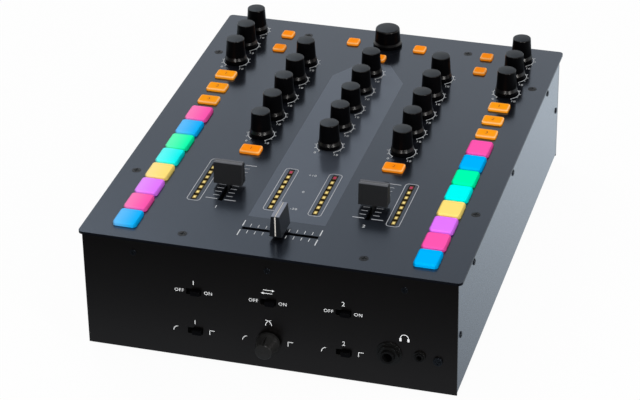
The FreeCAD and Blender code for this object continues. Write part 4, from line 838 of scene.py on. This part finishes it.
class MIXER_OT_meter_frames(bpy.types.Operator):
    """Print the outlines of the level meters and the numbers between them"""

    bl_idname = "mixer.meter_frames"
    bl_label = "Meter frames"
    number_inset = 3.0 * MM

    def execute(self, context):
        sizes = context.scene.mixer_print
        low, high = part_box("meter_light_pipes")
        middle_y = (low.y + high.y) / 2
        channel_x = high.x - PIPE_HALF
        outline = self.outline(sizes)
        columns = (-channel_x, -sizes.master_meter, sizes.master_meter, channel_x)
        marks = [copy_to(outline, (x, middle_y, PANEL_TOP)) for x in columns]
        discard(outline)
        numbers = []
        inset = self.number_inset
        for text, y in (("+10", high.y - inset), ("0", middle_y), ("-20", low.y + inset)):
            number = lettering(text, sizes.small_number, sizes.ink)
            numbers.append(placed(number, (0.0, y, PANEL_TOP)))
        finished(numbers, "meter_numbers", CASE, ink_material())
        finished(marks, "meter_frames", CASE, ink_material("dim_ink"))
        return {"FINISHED"}

    def outline(self, sizes):
        """A rounded frame, made by an inset."""
        shape = start_flat(sizes.meter_width, sizes.meter_length)
        bpy.ops.mesh.bevel(offset=sizes.meter_corner, segments=5, affect="VERTICES")
        bpy.ops.mesh.select_all(action="SELECT")
        bpy.ops.mesh.inset(thickness=sizes.line, use_even_offset=True)
        bpy.ops.mesh.delete(type="FACE")
        raise_ink(sizes.ink)
        return shape


class MIXER_OT_key_legends(bpy.types.Operator):
    """Print dark numbers on the wide keys and the cue keys"""

    bl_idname = "mixer.key_legends"
    bl_label = "Key legends"
    crown, key_depth = 0.02 * MM, 12.1 * MM

    def execute(self, context):
        sizes = context.scene.mixer_print
        dark = plain_finish((), "key_print", context.scene.mixer_colours.key_ink, (900.0, 0.2), INK_GRAIN,
                            specular_ior_level=0.2)
        for node in DECK_KEYS:
            low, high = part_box(node)
            pitch = (high.y - low.y - self.key_depth) / (KEYS_PER_DECK - 1)
            rows = [high.y - self.key_depth / 2 - index * pitch for index in range(KEYS_PER_DECK)]
            self.numbers(sizes, node, [((low.x + high.x) / 2, y) for y in rows], dark)
        row = centre("cue_keys").y
        columns = [centre(f"channel_{channel}_gain_knob").x for channel in (1, 2)]
        self.numbers(sizes, "cue_keys", [(x, row) for x in columns], dark)
        return {"FINISHED"}

    def numbers(self, sizes, node, spots, material):
        """Count along the keys of one node."""
        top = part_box(node)[1].z - self.crown
        marks = [placed(lettering(str(index), sizes.key_number, sizes.ink), (x, y, top))
                 for index, (x, y) in enumerate(spots, start=1)]
        finished(marks, f"{node}_print", node, material)


class MIXER_OT_front_legends(bpy.types.Operator):
    """Print words, numbers and signs on the front panel"""

    bl_idname = "mixer.front_legends"
    bl_label = "Front legends"
    word_reach = 9.8 * MM
    label_rise, swap_rise, cross_rise = 6.6 * MM, 7.92 * MM, 14.0 * MM
    sign_reach, knob_sign_reach, slow_drop = 11.5 * MM, 14.5 * MM, 1.5 * MM
    headphone_aside, headphone_rise = 10.0 * MM, 13.0 * MM
    arrow_half, arrow_line, arrow_reach, arrow_size = 1.2 * MM, 6.0 * MM, 3.4 * MM, 1.1 * MM
    curve = 3.4 * MM
    cross_radius, cross_aside, cross_drop = 4.2 * MM, 2.1 * MM, 2.0 * MM
    band_radius, cup_width, cup_height, cup_drop = 2.6 * MM, 1.4 * MM, 2.6 * MM, 1.2 * MM
    band_sweep = math.radians(190)

    def execute(self, context):
        sizes = context.scene.mixer_print
        marks = []

        def put(mark, x, z):
            marks.append(placed(mark, (x, FRONT_FACE, z), FACING_FRONT))

        for name in ON_OFF_SWITCHES:
            spot = travel_middle(name)
            for text, sign in (("OFF", -1), ("ON", 1)):
                put(lettering(text, sizes.switch_word, sizes.ink), spot.x + sign * self.word_reach, spot.z)
        for channel in (1, 2):
            for name in (f"line_switch_{channel}", f"curve_switch_{channel}"):
                spot = travel_middle(name)
                put(lettering(str(channel), sizes.number, sizes.ink), spot.x, spot.z + self.label_rise)
        spot = travel_middle("reverse_switch")
        put(self.swap_sign(sizes), spot.x, spot.z + self.swap_rise)
        knob, jack = centre("curve_knob"), MOUNTS["headphone_large"]
        ends = [(travel_middle(name), self.sign_reach) for name in CURVE_SWITCHES]
        for spot, reach in (*ends, (knob, self.knob_sign_reach)):
            put(self.slow_curve(sizes), spot.x - reach, spot.z - self.slow_drop)
            put(self.sharp_curve(sizes), spot.x + reach, spot.z)
        put(self.cross_curve(sizes), knob.x, knob.z + self.cross_rise)
        put(self.headphone_sign(sizes), jack.x + self.headphone_aside, jack.z + self.headphone_rise)
        finished(marks, "front_legends", CASE, ink_material("bright_ink"))
        return {"FINISHED"}

    def swap_sign(self, sizes):
        """Two arrows that point opposite ways."""
        parts = []
        for sign in (-1, 1):
            y = sign * self.arrow_half
            parts.append(placed(stroke(self.arrow_line, sizes.line, sizes.ink), (0.0, y, 0.0)))
            head = arrow_head(self.arrow_size, sizes.ink)
            parts.append(placed(head, (sign * self.arrow_reach, y, 0.0), turned((1 - sign) * QUARTER)))
        return joined(parts)

    def slow_curve(self, sizes):
        """A quarter arc for a gentle curve."""
        arc = arc_stroke(self.curve, sizes.line, QUARTER, sizes.ink, steps=12)
        return placed(arc, (0.0, 0.0, 0.0), turned(QUARTER / 2))

    def sharp_curve(self, sizes):
        """A square corner for a sharp curve."""
        upright = placed(stroke(sizes.line, self.curve, sizes.ink), (-self.curve / 2, 0.0, 0.0))
        level = placed(stroke(self.curve, sizes.line, sizes.ink), (0.0, self.curve / 2, 0.0))
        return joined([upright, level])

    def cross_curve(self, sizes):
        """Two quarter arcs that cross."""
        parts = []
        for sign in (-1, 1):
            arc = arc_stroke(self.cross_radius, sizes.line, QUARTER, sizes.ink, steps=12)
            spot = (sign * self.cross_aside, -self.cross_drop, 0.0)
            parts.append(placed(arc, spot, turned(sign * QUARTER / 2)))
        return joined(parts)

    def headphone_sign(self, sizes):
        """A headband with two ear cups."""
        parts = [arc_stroke(self.band_radius, sizes.line, self.band_sweep, sizes.ink, steps=16)]
        for sign in (-1, 1):
            cup = stroke(self.cup_width, self.cup_height, sizes.ink)
            parts.append(placed(cup, (sign * self.band_radius, -self.cup_drop, 0.0)))
        return joined(parts)


class MIXER_OT_rear_legends(bpy.types.Operator):
    """Print numbers at the rear sockets and words at the power switch"""

    bl_idname = "mixer.rear_legends"
    bl_label = "Rear legends"
    number_rise, word_gap = 11.5 * MM, 3.4 * MM
    upper_row = ("channel_1_line_left", "channel_1_phono_left", "channel_2_line_left",
                 "channel_2_phono_left", "record_out_left", "output_left")

    def execute(self, context):
        sizes = context.scene.mixer_print
        marks = []
        for index, name in enumerate(self.upper_row, start=1):
            number = lettering(str(index), sizes.number, sizes.ink)
            spot = (MOUNTS[name].x, REAR_FACE, MOUNTS[name].z + self.number_rise)
            marks.append(placed(number, spot, FACING_REAR))
        low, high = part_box("power_switch_housing")
        for text, z in (("ON", high.z + self.word_gap), ("OFF", low.z - self.word_gap)):
            word = lettering(text, sizes.switch_word, sizes.ink)
            marks.append(placed(word, ((low.x + high.x) / 2, REAR_FACE, z), FACING_REAR))
        finished(marks, "rear_legends", CASE, ink_material("bright_ink"))
        return {"FINISHED"}


class MIXER_OT_stage(bpy.types.Operator):
    """Floor, soft studio light and the camera"""

    bl_idname = "mixer.stage"
    bl_label = "Stage"
    floor_size = 30.0
    floor_fades = ((-0.22, 0.24, 0.30, 1.0), (-0.32, -0.19, 0.04, 1.0))
    floor_white = 0.96
    room_fades = {"Z": (0.468, 0.603, 1.0, 0.20), "Y": (-0.45, 0.10, 0.15, 1.0)}
    right_spark = 1.6
    sensor, far = 36.0, 50.0

    def execute(self, context):
        stage = context.scene.mixer_stage
        context.scene.view_settings.view_transform = "Standard"
        self.floor(stage)
        self.sky(context.scene, stage)
        self.lamp("key_lamp", (-1.1, 1.2, 1.9), 1.2, stage.key_power)
        self.lamp("fill_lamp", (0.5, -0.3, 2.4), 2.0, stage.fill_power)
        sparks = [
            self.lamp("left_spark_lamp", (0.16, -1.52, 0.56), 0.30, stage.spark_power),
            self.lamp("right_spark_lamp", (1.21, -0.94, 0.56), 0.30, self.right_spark * stage.spark_power),
        ]
        self.keep_glare_off(sparks, "top_panel")
        self.camera(context.scene, stage)
        return {"FINISHED"}

    def floor(self, stage):
        """A pale floor, white to the camera, and in reflections a glow that fades towards the user."""
        deselect()
        bpy.ops.mesh.primitive_plane_add(size=self.floor_size)
        floor = bpy.context.object
        floor.name = "studio_floor"
        paint = Paint("studio_floor", roughness=0.9, specular_ior_level=0.0)
        paint.base(stage.floor)
        seen = paint.add("ShaderNodeEmission")
        fade = paint.math("MULTIPLY", *(paint.ramp(paint.y, *span) for span in self.floor_fades))
        mirrored = paint.add("ShaderNodeEmission", rgba(stage.mirrored), fade)
        path = paint.add("ShaderNodeLightPath")
        surface = paint.shader.outputs[0]
        for ray, glow, share in (("Is Glossy Ray", mirrored, 1.0), ("Is Camera Ray", seen, self.floor_white)):
            weight = paint.math("MULTIPLY", path.outputs[ray], share)
            surface = paint.add("ShaderNodeMixShader", weight, surface, glow.outputs[0]).outputs[0]
        paint.feed(paint.tree.nodes["Material Output"].inputs["Surface"], surface)
        floor.data.materials.append(paint.material)

    def sky(self, scene, stage):
        """White to the camera, a white backdrop in a dim room in reflections, dimmer as a light."""
        scene.world = bpy.data.worlds.new("studio_sky")
        nodes = Nodes(scene.world)
        path = nodes.add("ShaderNodeLightPath").outputs
        camera = path["Is Camera Ray"]
        seen = nodes.math("MAXIMUM", camera, path["Is Glossy Ray"])
        seen = nodes.math("MAXIMUM", seen, path["Is Transmission Ray"])
        way = nodes.add("ShaderNodeTexCoord").outputs["Generated"]
        split = nodes.add("ShaderNodeSeparateXYZ", way).outputs
        room = nodes.math("MULTIPLY", *(nodes.ramp(split[axis], *span)
                                        for axis, span in self.room_fades.items()))
        shown = nodes.math("MAXIMUM", room, camera)
        background = nodes.tree.nodes["Background"].inputs
        nodes.feed(background["Color"], rgba(WHITE))
        nodes.feed(background["Strength"], nodes.ramp(seen, 0.0, 1.0, stage.sky, shown))

    def lamp(self, name, place, size, power):
        """A round lamp that points at the origin."""
        bpy.ops.object.light_add(type="AREA", location=place)
        lamp = bpy.context.object
        lamp.name = name
        lamp.data.shape = "DISK"
        lamp.data.size = size
        lamp.data.energy = power
        lamp.rotation_euler = (-Vector(place)).to_track_quat("-Z", "Y").to_euler()
        return lamp

    def keep_glare_off(self, lamps, node):
        """Leave one glossy node out of what some lamps light."""
        spared = bpy.data.collections.new(f"{node}_without_glare")
        spared.objects.link(frame["nodes"][node])
        for lamp in lamps:
            lamp.light_linking.receiver_collection = spared
        for entry in spared.collection_objects:
            entry.light_linking.link_state = "EXCLUDE"

    def camera(self, scene, stage):
        eye = Vector(stage.eye)
        bpy.ops.object.camera_add(location=eye)
        camera = bpy.context.object
        camera.name = "picture_camera"
        camera.data.lens = stage.lens
        camera.data.sensor_width = self.sensor
        camera.data.sensor_fit = "HORIZONTAL"
        camera.data.clip_end = self.far
        level = (Vector(stage.aim) - eye).to_track_quat("-Z", "Y").to_matrix().to_4x4()
        camera.matrix_world = Matrix.Translation(eye) @ level @ Matrix.Rotation(stage.roll, 4, "Z")
        scene.camera = camera


OPERATORS = (MIXER_OT_case_finish, MIXER_OT_knob_finish, MIXER_OT_lit_finish, MIXER_OT_knob_scales,
             MIXER_OT_knob_pointers, MIXER_OT_fader_scales, MIXER_OT_fader_lines, MIXER_OT_meter_frames,
             MIXER_OT_key_legends, MIXER_OT_front_legends, MIXER_OT_rear_legends, MIXER_OT_stage)


class MIXER_PT_looks(bpy.types.Panel):
    """Lists the steps that dress the mixer"""

    bl_idname = "MIXER_PT_looks"
    bl_label = "Mixer"
    bl_space_type = "VIEW_3D"
    bl_region_type = "UI"
    bl_category = "Mixer"

    def draw(self, context):
        for operator in OPERATORS:
            self.layout.operator(operator.bl_idname)


GROUPS = {"mixer_print": MixerPrint, "mixer_colours": MixerColours, "mixer_stage": MixerStage}
CLASSES = (*GROUPS.values(), *OPERATORS, MIXER_PT_looks)


def register():
    for item in CLASSES:
        bpy.utils.register_class(item)
    for name, group in GROUPS.items():
        setattr(bpy.types.Scene, name, PointerProperty(type=group))


def unregister():
    for name in GROUPS:
        delattr(bpy.types.Scene, name)
    for item in reversed(CLASSES):
        bpy.utils.unregister_class(item)


def main():
    register()
    for operator in OPERATORS:
        group, name = operator.bl_idname.split(".")
        getattr(getattr(bpy.ops, group), name)()


if __name__ == "__main__":
    main()
